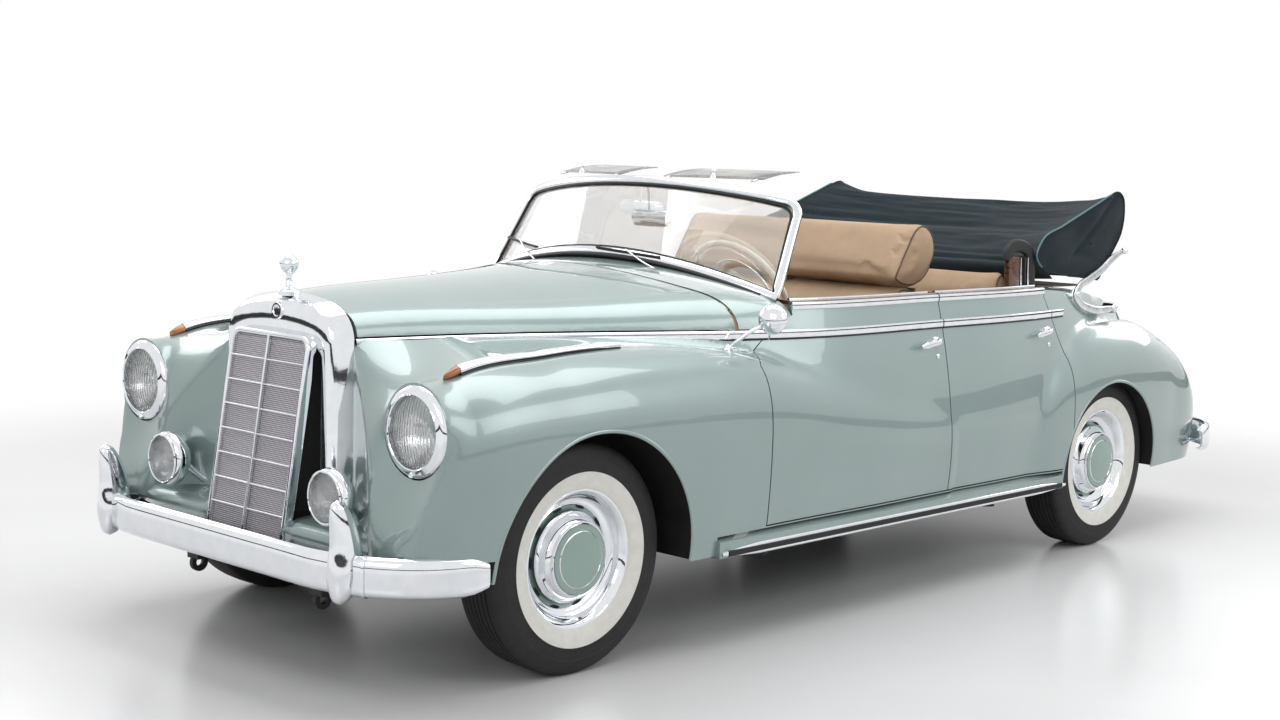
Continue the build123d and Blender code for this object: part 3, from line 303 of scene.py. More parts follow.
LEATHER = hide("tan_hide", "#b2967a", "#a0866b")
PIPING = hide("brown_piping_hide", "#4b3a2a", "#5a4632", 0.001)
HOOD_CLOTH = woven("dark_teal_hood_cloth", "#08151b", "#13262e", 0.0022, fuzz=0.10)
HOOD_PIPING = woven("pale_piping_cloth", "#54707a", "#6c858d", 0.0018, fuzz=0.1)
LINING = woven("grey_lining_cloth", "#8f8779", "#a0988a", 0.002)
CARPET = pile("brown_carpet", "#3b2f25", "#5a4a3b")
IVORY = moulded("ivory_plastic", "#e8e0cc", "#dcd2b8", 0.2)
AMBER = moulded("amber_lens_plastic", "#b8743c", "#8d4f24", 0.15)
RED = moulded("ruby_lens_plastic", "#7c0f12", "#5a090c", 0.12)
GAUGE = moulded("gauge_face_enamel", "#efe6cf", "#e2d8bd", 0.35)
SMOKED = clear_glass("smoked_visor_plastic", "#55585c", 0.85, 0.15)
print("leather, cloth, carpet and plastic made")

# %% [markdown]
# ## Finishes for the modelled parts that stay
# The lid of the bonnet, the boot lid, sills, running gear and glass keep their own shapes, which are
# right, and only take a finish. A table of node names and finishes says it in one place.

# %% Dress the parts that stay
FINISH_OF = {
    "bonnet": PAINT, "boot_lid": PAINT, "body_sides": PAINT, "chassis_frame": CHASSIS_BLACK,
    "floor_pan": CHASSIS_BLACK, "sill_strips": CHROME, "rear_lamps": RED, "tow_eyes": CHASSIS_BLACK, "fuel_tank": CHASSIS_BLACK, "front_suspension": CHASSIS_BLACK,
    "rear_axle": CAST_IRON, "driveline": CAST_IRON, "knuckle_left": CAST_IRON, "knuckle_right": CAST_IRON,
    "steering_column": IVORY, "windscreen_glass": GLASS, "front_wings": PAINT, "cowl": PAINT,
    "rear_body": PAINT, "radiator_shell": CHROME, "grille": SATIN, "lamp_rings": CHROME, "lamp_glasses": LENS,
    "front_bumper": CHROME, "rear_bumper": CHROME, "windscreen_frame": CHROME, "dashboard": WALNUT,
    "steering_wheel": IVORY, "front_seat": LEATHER, "rear_seat": LEATHER, "folded_hood": HOOD_CLOTH,
    "hood_irons": CHROME,
}
for side in ("left", "right"):
    for row in ("front", "rear"):
        FINISH_OF[f"{row}_door_{side}"] = PAINT
        FINISH_OF[f"tyre_{row}_{side}"] = TYRE_RUBBER
        FINISH_OF[f"wheel_{row}_{side}"] = CHROME
for name, finish in FINISH_OF.items():
    if name not in NODES:
        continue
    node_object = NODES[name]
    node_object.data.materials.clear()
    node_object.data.materials.append(finish)
print(len(FINISH_OF), "parts dressed of", len(NODES))

# %% [markdown]
# ## Making and joining meshes
# Everything else is a new piece. A piece is drawn in its place, in the car's own frame, so its object
# stays at the origin. These helpers make a mesh, smooth it, mirror it to the right side and set it to
# ride on the body that carries it.


# %% Mesh helpers
made_pieces = []


def piece(name, verts, faces, finish, body=BODY, smooth=40):
    """A new mesh piece from its points and faces, facing outwards, that rides on a body."""
    mesh = bpy.data.meshes.new(name)
    mesh.from_pydata([tuple(v) for v in verts], [], [tuple(f) for f in faces])
    mesh.validate()
    made = bpy.data.objects.new(name, mesh)
    bpy.context.collection.objects.link(made)
    for one in (finish if isinstance(finish, (list, tuple)) else [finish]):
        mesh.materials.append(one)
    return finished(made, body, smooth)


def chosen(made):
    """Selects one object and no other."""
    bpy.ops.object.select_all(action="DESELECT")
    made.select_set(True)
    bpy.context.view_layer.objects.active = made


def finished(made, body=BODY, smooth=40):
    """Smooths a piece between its real edges and says what it rides on."""
    chosen(made)
    if smooth:
        bpy.ops.object.shade_smooth_by_angle(angle=math.radians(smooth))
    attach(made, body)
    made_pieces.append(made.name)
    return made


def outwards(made):
    """Merges doubles and turns every face of a closed shape outwards."""
    form = bmesh.new()
    form.from_mesh(made.data)
    bmesh.ops.remove_doubles(form, verts=form.verts, dist=0.00002)
    bmesh.ops.recalc_face_normals(form, faces=form.faces)
    form.to_mesh(made.data)
    form.free()
    return made


def applied(made, kind, **settings):
    """Adds a modifier and applies it."""
    chosen(made)
    modifier = made.modifiers.new(kind.title(), kind)
    for key, value in settings.items():
        setattr(modifier, key, value)
    bpy.ops.object.modifier_apply(modifier=modifier.name)
    return made


def mirror_of(made, name, body=BODY):
    """The same piece on the car's right side, with its own mesh."""
    mesh = made.data.copy()
    mesh.transform(Matrix.Scale(-1, 4, (1, 0, 0)))
    mesh.flip_normals()
    copy = bpy.data.objects.new(name, mesh)
    bpy.context.collection.objects.link(copy)
    return finished(copy, body, None)


def grid_faces(rows, columns, closed=False):
    """Quads over a grid of points, row by row. closed joins each row's end to its start."""
    return [(i * columns + j, i * columns + (j + 1) % columns, (i + 1) * columns + (j + 1) % columns,
             (i + 1) * columns + j) for i in range(rows - 1) for j in range(columns if closed else columns - 1)]


def swept(name, path, section, finish, side=(0, 0, 1), body=BODY, scale=None, smooth=40, caps=True):
    """A flat closed section swept along a path. Its points are (across, along side) of the path.

    side is the direction that the section's second number follows, for all points or one by one.
    scale shrinks or widens the section point by point along the path, as at a tapered end.
    """
    path = [Vector(p) for p in path]
    verts = []
    for i, here in enumerate(path):
        run = (path[min(i + 1, len(path) - 1)] - path[max(i - 1, 0)]).normalized()
        rise = Vector(side[i] if isinstance(side[0], (tuple, list, Vector)) else side)
        rise = (rise - run * rise.dot(run)).normalized()
        wide = run.cross(rise)
        grow = scale[i] if scale else (1, 1)
        verts += [here + wide * a * grow[0] + rise * b * grow[1] for a, b in section]
    count = len(section)
    faces = grid_faces(len(path), count, True)
    if caps:
        faces += [tuple(range(count))[::-1], tuple(range((len(path) - 1) * count, len(path) * count))]
    made = piece(name, verts, faces, finish, body, None)
    outwards(made)
    chosen(made)
    bpy.ops.object.shade_smooth_by_angle(angle=math.radians(smooth))
    return made


def spun(name, profile, centre, axis, finish, body=BODY, steps=64, smooth=35):
    """A round piece: a profile of (along the axis, radius) points turned all the way about the axis."""
    axis = Vector(axis).normalized()
    across = axis.orthogonal().normalized()
    centre = Vector(centre)
    mesh = bpy.data.meshes.new(name)
    points = [centre + axis * a + across * r for a, r in profile]
    mesh.from_pydata([tuple(p) for p in points], [(i, i + 1) for i in range(len(points) - 1)], [])
    made = bpy.data.objects.new(name, mesh)
    bpy.context.collection.objects.link(made)
    mesh.materials.append(finish)
    chosen(made)
    bpy.ops.object.mode_set(mode="EDIT")
    bpy.ops.mesh.select_all(action="SELECT")
    bpy.ops.mesh.spin(steps=steps, angle=math.tau, center=centre, axis=axis)
    bpy.ops.object.mode_set(mode="OBJECT")
    outwards(made)
    return finished(made, body, smooth)


def ring_section(wide, high, count=12):
    """An oval section of that width and height."""
    return [(wide / 2 * math.cos(t), high / 2 * math.sin(t))
            for t in (math.tau * i / count for i in range(count))]


def rounded(wide, high, radius, count=4):
    """A rectangular section with round corners, centred."""
    points = []
    for cx, cy, start in ((1, 1, 0), (-1, 1, 90), (-1, -1, 180), (1, -1, 270)):
        for i in range(count + 1):
            turn = math.radians(start + 90 * i / count)
            points.append((cx * (wide / 2 - radius) + radius * math.cos(turn),
                           cy * (high / 2 - radius) + radius * math.sin(turn)))
    return points


def smoothed(points, count):
    """A smooth open curve through the points, as count points."""
    pts = np.array(points, float)
    t = np.concatenate(([0], np.cumsum(np.linalg.norm(np.diff(pts, axis=0), axis=1))))
    slope = np.gradient(pts, t, axis=0)
    out = []
    for s in np.linspace(0, t[-1], count):
        i = min(max(int(np.searchsorted(t, s)) - 1, 0), len(t) - 2)
        h = t[i + 1] - t[i]
        u = (s - t[i]) / h
        out.append((2 * u ** 3 - 3 * u ** 2 + 1) * pts[i] + (u ** 3 - 2 * u ** 2 + u) * h * slope[i]
                   + (3 * u ** 2 - 2 * u ** 3) * pts[i + 1] + (u ** 3 - u ** 2) * h * slope[i + 1])
    return [tuple(float(c) for c in p) for p in out]


# %% [markdown]
# ## The body's skin
# On the real car a press forms wings and sides from sheet, and a body man leads and files the joints, so
# wing, side and tail flow into one another through soft fillets. A loft alone leaves a crease there.
# The skin is drawn here from the same sections as the modelled panels. At each station along the car the
# outlines of wing and side are seen from a point inside the body, as a distance at each angle, and a
# smooth maximum of the distances rounds the valley between them.

# %% Sections of the body, in millimetres from nose to tail
# Cabin and tail: y, belt x, belt z, widest x, widest z, sill x, crown z
TUB_SECTIONS = (
    (-1575, 380, 1090, 560, 640, 540, 1150), (-1325, 480, 1090, 680, 640, 650, 1165),
    (-1075, 600, 1090, 790, 640, 770, 1186), (-687, 752, 1100, 872, 630, 852, 1212),
    (185, 800, 1100, 893, 620, 870, 1215), (925, 790, 1094, 880, 620, 862, 1160),
    (1455, 700, 1052, 810, 620, 800, 1090), (1925, 585, 930, 700, 600, 690, 975),
    (2255, 470, 700, 590, 540, 590, 745), (2385, 400, 500, 510, 440, 520, 530),
)
# Wings: y, inner x, inner z, crest x, crest z, widest x, widest z, low x
FRONT_WING_SECTIONS = (
    (-2277, 560, 660, 690, 812, 806, 640, 770), (-2215, 440, 830, 700, 893, 855, 670, 830),
    (-2135, 292, 1000, 705, 928, 882, 690, 860), (-1745, 372, 1004, 710, 978, 904, 698, 889),
    (-1355, 508, 1004, 728, 985, 909, 688, 893), (-965, 640, 985, 765, 958, 908, 665, 888),
    (-565, 700, 875, 798, 872, 903, 625, 881), (-175, 700, 760, 818, 756, 896, 570, 876),
    (225, 700, 640, 830, 650, 888, 500, 870),
)
REAR_WING_SECTIONS = (
    (745, 640, 450, 800, 500, 866, 420, 862), (875, 600, 700, 800, 745, 902, 545, 893),
    (1125, 600, 845, 790, 888, 916, 600, 902), (1475, 580, 900, 765, 940, 919, 585, 902),
    (1875, 520, 850, 710, 893, 898, 560, 882), (2175, 450, 685, 650, 722, 848, 500, 828),
    (2325, 450, 470, 600, 505, 752, 440, 730),
)
# Bonnet: y, side x at the moulding, shoulder x, shoulder z, crown z
BONNET_SECTIONS = (
    (-2195, 290, 215, 1085, 1121), (-2127, 300, 222, 1092, 1130), (-1675, 400, 300, 1105, 1160),
    (-1195, 590, 450, 1120, 1187), (-775, 765, 615, 1140, 1212), (-595, 800, 650, 1128, 1226),
)
# Where the skin is looked at from: y, x, z
EYES = ((-2300, 690, 600), (-1900, 660, 590), (-1300, 640, 590), (-800, 610, 600), (-300, 600, 600),
        (800, 600, 600), (1500, 520, 560), (2000, 470, 480), (2390, 400, 400))
SKIN_BOTTOM = 290
BELT_Z = 1013
FILLET = 13
print("sections:", len(TUB_SECTIONS), len(FRONT_WING_SECTIONS), len(REAR_WING_SECTIONS))


# %% Outlines and their smooth union
def row_at(table, y):
    """A row of a table at y, on smooth curves through the rows."""
    rows = np.array(table, float)
    ys = rows[:, 0]
    slope = np.gradient(rows, ys, axis=0)
    i = int(np.clip(np.searchsorted(ys, y) - 1, 0, len(ys) - 2))
    h = ys[i + 1] - ys[i]
    u = (y - ys[i]) / h
    return ((2 * u ** 3 - 3 * u ** 2 + 1) * rows[i] + (u ** 3 - 2 * u ** 2 + u) * h * slope[i]
            + (3 * u ** 2 - 2 * u ** 3) * rows[i + 1] + (u ** 3 - u ** 2) * h * slope[i + 1])[1:]


def bow(a, mid, b, count=14):
    """Points on the curve from a through mid to b, without b."""
    a, mid, b = (np.array(p, float) for p in (a, mid, b))
    pull = 2 * mid - (a + b) / 2
    return [(1 - t) ** 2 * a + 2 * t * (1 - t) * pull + t * t * b for t in np.linspace(0, 1, count, endpoint=False)]


def tub_outline(y):
    belt_x, belt_z, wide_x, wide_z, sill_x, crown_z = row_at(TUB_SECTIONS, y)
    low = ((sill_x + wide_x) / 2 + 6, (SKIN_BOTTOM + wide_z) / 2)
    high = ((wide_x + belt_x) / 2 + 12, (wide_z + belt_z) / 2)
    return np.array([(0, SKIN_BOTTOM - 60), (sill_x, SKIN_BOTTOM - 60), *bow((sill_x, SKIN_BOTTOM), low, (wide_x, wide_z)),
                     *bow((wide_x, wide_z), high, (belt_x, belt_z)),
                     *bow((belt_x, belt_z), (0, crown_z), (-belt_x, belt_z), 29)])


def wing_outline(table, y):
    inner_x, inner_z, crest_x, crest_z, wide_x, wide_z, low_x = row_at(table, y)
    crown = ((inner_x + crest_x) / 2, (inner_z + crest_z) / 2 + (crest_z - inner_z) * 0.22 - 14)
    shoulder = (crest_x + (wide_x - crest_x) * 0.76, wide_z + (crest_z - wide_z) * 0.70)
    side = ((wide_x + low_x) / 2 + 5, (wide_z + 305) / 2)
    return np.array([(inner_x, SKIN_BOTTOM - 60), (inner_x, inner_z), *bow((inner_x, inner_z), crown, (crest_x, crest_z)),
                     *bow((crest_x, crest_z), shoulder, (wide_x, wide_z)),
                     *bow((wide_x, wide_z), side, (low_x, 305)), (low_x, 305), (low_x, SKIN_BOTTOM - 60),
                     (inner_x, SKIN_BOTTOM - 60)])


def reach(line, eye, angles):
    """How far the outline lies from the eye at each angle, or 0 where it isn't."""
    here = line - eye
    a, b = here[:-1], here[1:]
    ray = np.stack([np.cos(angles), np.sin(angles)], 1)[:, None, :]
    edge = (b - a)[None]
    cross = ray[..., 0] * edge[..., 1] - ray[..., 1] * edge[..., 0]
    cross = np.where(np.abs(cross) < 1e-9, 1e-9, cross)
    far = (a[None, :, 0] * edge[..., 1] - a[None, :, 1] * edge[..., 0]) / cross
    share = (a[None, :, 0] * ray[..., 1] - a[None, :, 1] * ray[..., 0]) / cross
    hit = (share >= -1e-6) & (share <= 1 + 1e-6) & (far > 0)
    return np.where(hit, far, 0).max(axis=1)


def skin_row(y, angles):
    """Points (x, z) of the body's side at y, one for each angle."""
    eye = row_at(EYES, y)
    found = []
    if y >= -1575:
        found.append(reach(tub_outline(y), eye, angles))
    if y <= 225:
        found.append(reach(wing_outline(FRONT_WING_SECTIONS, y), eye, angles))
    if 745 <= y <= 2325:
        found.append(reach(wing_outline(REAR_WING_SECTIONS, y), eye, angles))
    elif y > 2325:
        found.append(reach(wing_outline(REAR_WING_SECTIONS, 2325), eye, angles))
    if -2240 <= y <= -1985:
        # The barrel of the headlamp, which the wing is faired to
        turns = np.linspace(0, math.tau, 73)
        barrel = 141.5 - (y + 2240) * 0.15
        circle = np.stack([712 + barrel * np.cos(turns), 787 + barrel * np.sin(turns)], 1)
        found.append(reach(circle, eye, angles))
    found = np.array(found)
    most = found.max(axis=0)
    soft = most + FILLET * np.log(np.exp((found - most) / FILLET).sum(axis=0))
    return eye + np.stack([np.cos(angles), np.sin(angles)], 1) * soft[:, None]


def side_x(y, z):
    """The body side's x at y and z, in metres, for pieces that lie on the skin."""
    angles = np.radians(np.arange(-50, 130, 0.5))
    points = skin_row(y * 1000, angles)
    best = 0.0
    for p, q in zip(points[:-1], points[1:]):
        if (p[1] - z * 1000) * (q[1] - z * 1000) <= 0 and abs(q[1] - p[1]) > 1e-6:
            best = max(best, p[0] + (q[0] - p[0]) * (z * 1000 - p[1]) / (q[1] - p[1]))
    return best / 1000


def bonnet_side(y):
    """The bonnet side's x at the moulding, in metres."""
    return float(row_at(BONNET_SECTIONS, y * 1000)[0]) / 1000


print("side at the middle of the front door:", round(side_x(-0.4, 0.7), 4))

# %% [markdown]
# ### Drawing and cutting the skin
# The rows of points become one sheet from nose to tail. It is then scored along the shut lines of the
# doors, the wheel arches and the boot, as a fitter scribes a panel, and each patch is lifted out and
# given its thickness. Straight planes do the scoring, so every shut line is exact and even.

# %% The sheet as rows of points
TAIL_START, TAIL_DEPTH = 2285, 105
NOSE_START, NOSE_DEPTH = -2277, 42
ANGLES = np.radians(np.arange(-108, 252.5, 2.0))


def last_angle(y, eye):
    """The direction of the skin's upper edge at y: the wing's foot, the belt, or the centre line."""
    if y <= -2135:
        return math.radians(252)
    if y < -883:
        inner_x, inner_z = row_at(FRONT_WING_SECTIONS, y)[:2]
        return math.atan2(inner_z - eye[1], inner_x + 2 - eye[0])
    belt_x, belt_z, _, _, _, crown_z = row_at(TUB_SECTIONS, y)
    if y < 943:
        return math.atan2(belt_z - eye[1], belt_x - eye[0])
    if y < 1455:
        return math.atan2(belt_z + (crown_z - belt_z) * 0.14 - eye[1], belt_x - 50 - eye[0])
    return math.atan2(crown_z - eye[1], -eye[0])


def sheet_row(y, shrink=1.0):
    """One row of the sheet, clamped at its ends, in metres. shrink draws it in at the nose and tail."""
    inside = min(max(y, NOSE_START), TAIL_START)
    eye = row_at(EYES, inside)
    angles = np.minimum(ANGLES, last_angle(inside, eye))
    points = skin_row(inside, angles)
    hit = np.hypot(*(points - eye).T) > 30
    first, last = np.argmax(hit), len(hit) - 1 - np.argmax(hit[::-1])
    points[:first], points[last + 1:] = points[first], points[last]
    if inside >= 1455:
        points[:, 0] = np.maximum(points[:, 0], 0)
    if shrink < 1:
        centre = np.array((0, 400)) if y > 0 else eye
        points = centre + (points - centre) * shrink
    return [(p[0] / 1000, y / 1000, p[1] / 1000) for p in points]


def draw_sheet():
    rows = [sheet_row(NOSE_START - NOSE_DEPTH * math.sin(t), math.cos(t)) for t in np.linspace(1.5705, 0.16, 10)]
    rows += [sheet_row(y) for y in (*np.linspace(NOSE_START, -2240.5, 6), *np.linspace(-2240, -2135, 15))]
    rows += [sheet_row(y) for y in np.linspace(-2134.5, -883, 60)[:-1]]
    rows += [sheet_row(y) for y in np.linspace(-883.2, 1454.5, 112)]
    rows += [sheet_row(y) for y in np.linspace(1455, TAIL_START, 42)]
    rows += [sheet_row(TAIL_START + TAIL_DEPTH * math.sin(t), math.cos(t) ** 0.8) for t in np.linspace(0.12, 1.5, 13)]
    form = bmesh.new()
    verts = [form.verts.new(p) for row in rows for p in row]
    for face in grid_faces(len(rows), len(ANGLES)):
        form.faces.new([verts[i] for i in face])
    bmesh.ops.remove_doubles(form, verts=form.verts, dist=0.0004)
    bmesh.ops.dissolve_degenerate(form, edges=form.edges, dist=0.0002)
    bmesh.ops.recalc_face_normals(form, faces=form.faces)
    middle = min(form.faces, key=lambda f: (f.calc_center_median() - Vector((0.9, -0.4, 0.6))).length)
    if middle.normal.x < 0:
        bmesh.ops.reverse_faces(form, faces=form.faces)
    return form


# %% Shut lines and arches, in millimetres
def front_door_line(inset):
    return ((-875 + inset, 374 + inset), (-875 + inset, 905), (-735 + inset, 1013), (-640 + inset, 1059),
            (-640 + inset, 1160), (185 - inset, 1160), (185 - inset, 374 + inset))


def rear_door_line(inset):
    return ((185 + inset, 374 + inset), (185 + inset, 1160), (943 - inset, 1160), (943 - inset, 1060),
            (1030 - inset, 860), (1030 - inset, 374 + inset))


def arch_line(y, z, radius):
    """A wheel arch as a closed line, round above and straight down to below the sill."""
    turns = np.linspace(0, math.pi, 49)
    return ((y + radius, 100), *[(y + radius * math.cos(t), z + radius * math.sin(t)) for t in turns],
            (y - radius, 100))


FRONT_ARCH, REAR_ARCH = (-1660, 345, 412), (1355, 330, 372)
BOOT_LINE = ((1805, -50), (1805, 440), (3000, 380), (3000, -50))


def score(form, line, axis="x"):
    """Cuts new edges into the sheet along a closed line, in millimetres, seen along x or along z."""
    for a, b in zip(line, (*line[1:], line[0])):
        a, b = np.array(a, float) / 1000, np.array(b, float) / 1000
        low, high = np.minimum(a, b) - 0.045, np.maximum(a, b) + 0.045
        near = []
        for face in form.faces:
            at = face.calc_center_median()
            u, v = (at.y, at.z) if axis == "x" else (at.y, at.x)
            if low[0] < u < high[0] and low[1] < v < high[1]:
                near.append(face)
        edges = {e for f in near for e in f.edges}
        corners = {v for f in near for v in f.verts}
        across = (b - a)[::-1] * (1, -1)
        if axis == "x":
            point, normal = (0, a[0], a[1]), (0, across[0], across[1])
        else:
            point, normal = (a[1], a[0], 0), (across[1], across[0], 0)
        bmesh.ops.bisect_plane(form, geom=[*near, *edges, *corners], dist=0.00003, plane_co=point, plane_no=normal)


def within(line, u, v):
    """Whether the point lies inside the closed line."""
    hits = 0
    for (u0, v0), (u1, v1) in zip(line, (*line[1:], line[0])):
        if (v0 > v) != (v1 > v) and u < (u1 - u0) * (v - v0) / (v1 - v0) + u0:
            hits += 1
    return hits % 2 == 1


GAP = 2.6
sheet = draw_sheet()
for line in (front_door_line(GAP), front_door_line(-GAP), rear_door_line(GAP), rear_door_line(-GAP),
             arch_line(*FRONT_ARCH), arch_line(*REAR_ARCH)):
    score(sheet, line)
score(sheet, BOOT_LINE[:3] + ((3000, 380),) + BOOT_LINE[3:], "z")
for u0, u1, z in ((-2400, -2005, 420), (-2005, -1125, 305), (-1125, 1030, 367), (1030, 2500, 305),
                  (-2400, -883, 1010), (-883, -640, 1014), (-640, 960, 1098)):
    score(sheet, ((u0, z), (u1, z)))
score(sheet, ((-2005, 200), (-2005, 500)))
score(sheet, ((-1125, 200), (-1125, 400)))
print("skin sheet:", len(sheet.faces), "faces")


# %% Patches lifted from the sheet
def patch(name, test, finish, body, thickness):
    """The faces of the sheet that pass the test, as a panel of that thickness."""
    form = sheet.copy()
    doomed = [f for f in form.faces if not test(*[c * 1000 for c in f.calc_center_median()])]
    bmesh.ops.delete(form, geom=doomed, context="FACES")
    mesh = bpy.data.meshes.new(name)
    form.to_mesh(mesh)
    form.free()
    made = bpy.data.objects.new(name, mesh)
    bpy.context.collection.objects.link(made)
    mesh.materials.append(finish)
    applied(made, "SOLIDIFY", thickness=thickness, offset=-1, use_even_offset=False)
    return finished(made, body, 38)


def on_body(x, y, z):
    """Skin that belongs to the fixed body."""
    if within(front_door_line(-GAP), y, z) or within(rear_door_line(-GAP), y, z):
        return False
    if within(arch_line(*FRONT_ARCH), y, z) or within(arch_line(*REAR_ARCH), y, z):
        return False
    if within(BOOT_LINE, y, x) and z > 620:
        return False
    floor = 420 if y < -2005 else 305 if y < -1125 else 367 if y < 1030 else 305
    roof = 1010 if y < -883 else 1014 if y < -640 else 1098 if y < 943 else 2000
    return floor < z < roof


def on_lamp(x, z):
    return math.hypot(x - 712, z - 787) < 138


def in_door(line):
    return lambda x, y, z: (within(line, y, z) and not within(arch_line(*REAR_ARCH), y, z) and z < 1098)


score_lamp = [(712 + 138 * math.cos(t), 787 + 138 * math.sin(t)) for t in np.linspace(0, math.tau, 41)[:-1]]
for a, b in zip(score_lamp, (*score_lamp[1:], score_lamp[0])):
    near = [f for f in sheet.faces if f.calc_center_median().y < -2.20
            and math.hypot(f.calc_center_median().x - (a[0] + b[0]) / 2000,
                           f.calc_center_median().z - (a[1] + b[1]) / 2000) < 0.075]
    geom = [*near, *{e for f in near for e in f.edges}, *{v for f in near for v in f.verts}]
    bmesh.ops.bisect_plane(sheet, geom=geom, dist=0.00003, plane_co=(a[0] / 1000, 0, a[1] / 1000),
                           plane_no=((b[1] - a[1]), 0, (a[0] - b[0])))

# Round the lamp the nose falls back to the plane of its rim, and no face hangs below the nose
for v in sheet.verts:
    if v.co.y < -2.006:
        v.co.z = max(v.co.z, 0.42)
    from_lamp = math.hypot(v.co.x - 0.712, v.co.z - 0.787) - 0.138
    if v.co.y < -2.20:
        seat = -2.239 - 0.42 * max(from_lamp, 0)
        v.co.y = seat + 0.008 * math.log(1 + math.exp((v.co.y - seat) / 0.008)) if v.co.y > seat - 0.2 else seat

front_skin = patch("front_skin_left", lambda x, y, z: y < 0 and on_body(x, y, z) and not (y < -2238 and on_lamp(x, z)),
                   PAINT, BODY, 0.004)
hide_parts("front_wings", "cowl")
mirror_of(front_skin, "front_skin_right", BODY)
rear_skin = patch("rear_skin_left", lambda x, y, z: y > 0 and on_body(x, y, z), PAINT, BODY, 0.004)
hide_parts("rear_body")
mirror_of(rear_skin, "rear_skin_right", BODY)
for row, line in (("front", front_door_line(GAP)), ("rear", rear_door_line(GAP))):
    skin = patch(f"{row}_door_skin_left", in_door(line), PAINT, f"{row}_door_left", 0.02)
    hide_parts(f"{row}_door_left")
    other = mirror_of(skin, f"{row}_door_skin_right", f"{row}_door_right")
    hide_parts(f"{row}_door_right")

# %% [markdown]
# ### Edges, scuttle and inner panels
# A pressed wing ends in a wired edge: the lip of the arch is rolled round a wire and catches the light.
# Between bonnet and windscreen lies the scuttle, one sheet that follows the bonnet's form.

# %% Rolled lips of the wheel arches
def arch_lip(name, arch, start, stop):
    y, z, radius = (v / 1000 for v in arch)
    path = []
    for turn in np.radians(np.linspace(start, stop, 60)):
        at = (y + (radius + 0.004) * math.cos(turn), z + (radius + 0.004) * math.sin(turn))
        path.append((side_x(*at) - 0.003, *at))
    made = swept(name + "_left", path, ring_section(0.013, 0.010, 10), PAINT, (1, 0, 0))
    mirror_of(made, name + "_right", BODY)


arch_lip("front_arch_lip", FRONT_ARCH, -5, 185)
arch_lip("rear_arch_lip", REAR_ARCH, -3, 183)


# %% Scuttle between bonnet and windscreen
def bonnet_point(y, share, inset=0.0):
    """A point on the bonnet's form: share runs from the moulding at 0 to the crown at 1."""
    side, shoulder_x, shoulder_z, crown_z = row_at(BONNET_SECTIONS, y) - inset
    corner = ((side + shoulder_x) / 2 + (side - shoulder_x) * 0.22,
              (BELT_Z + shoulder_z) / 2 + (shoulder_z - BELT_Z) * 0.14)
    line = np.array([(side, BELT_Z), *bow((side, BELT_Z), corner, (shoulder_x, shoulder_z), 20)[1:],
                     *bow((shoulder_x, shoulder_z), (0, crown_z), (-shoulder_x, shoulder_z), 41)[:21]])
    length = np.concatenate(([0], np.cumsum(np.hypot(*np.diff(line, axis=0).T))))
    return np.array([np.interp(share * length[-1], length, line[:, i]) for i in (0, 1)])


def scuttle_edges(x):
    """Where the scuttle starts and ends along the car, at x from the centre line."""
    t = abs(x) / 790
    front = -975 + (125 * t ** 2)
    rear = -760 + 116 * min(abs(x) / 760, 1) ** 2
    return front, rear


def scuttle():
    shares = np.linspace(0.0, 1.0, 34)
    rows = []
    for v in np.linspace(0, 1, 12):
        row = []
        for share in shares:
            y = -860.0
            for _ in range(7):
                x = bonnet_point(y, share)[0]
                front, rear = scuttle_edges(x)
                y = front + (rear - front) * v
            x, z = bonnet_point(y, share)
            row.append((max(x, 0) / 1000, y / 1000, z / 1000 + (0.003 if share == 0 else 0)))
        rows.append(row)
    verts, faces = [], []
    for row in rows:
        verts += row + [(-x, y, z) for x, y, z in row[-2::-1]]
    faces = [f[::-1] for f in grid_faces(len(rows), 2 * len(shares) - 1)]
    made = piece("scuttle_top", verts, faces, PAINT, smooth=None)
    if made.data.polygons[len(made.data.polygons) // 2].normal.z < 0:
        made.data.flip_normals()
    applied(made, "SOLIDIFY", thickness=0.006, offset=-1)
    chosen(made)
    bpy.ops.object.shade_smooth_by_angle(angle=math.radians(40))
    return made


scuttle_top = scuttle()
print("scuttle faces", len(scuttle_top.data.polygons))

# %% [markdown]
# The fire wall and the inner wings are seen only when the bonnet or a door is open. They are flat sheets
# with swaged edges, made from a plane by inset and extrude.


# %% Fire wall and inner wings
def pressed_panel(name, corners, depth, finish, body=BODY, swage=0.03):
    """A flat panel through its corners, with thickness and a raised field inside a swaged border."""
    made = piece(name, corners, [tuple(range(len(corners)))], finish, body, None)
    chosen(made)
    bpy.ops.object.mode_set(mode="EDIT")
    bpy.ops.mesh.select_all(action="SELECT")
    bpy.ops.mesh.inset(thickness=swage, depth=0)
    bpy.ops.mesh.inset(thickness=0.008, depth=depth)
    bpy.ops.object.mode_set(mode="OBJECT")
    applied(made, "SOLIDIFY", thickness=0.003, offset=0)
    chosen(made)
    bpy.ops.object.shade_smooth_by_angle(angle=math.radians(30))
    return made


WALL_Y = -0.878
wall = [(0.14, WALL_Y, 0.345), (0.66, WALL_Y, 0.345), (0.745, WALL_Y, 0.6), (0.735, WALL_Y, 0.85),
        (0.69, WALL_Y, 0.985)]
pressed_panel("fire_wall", wall + [(0.14, WALL_Y, 0.985), (-0.14, WALL_Y, 0.985)]
              + [(-x, y, z) for x, y, z in wall[::-1]] + [(-0.14, WALL_Y, 0.44), (0.14, WALL_Y, 0.44)], 0.004,
              CHASSIS_BLACK)
pressed_panel("air_box", [(-0.60, WALL_Y, 0.985), (0.60, WALL_Y, 0.985), (0.60, -0.79, 0.985), (-0.60, -0.79, 0.985)],
              0.002, CHASSIS_BLACK, swage=0.012)


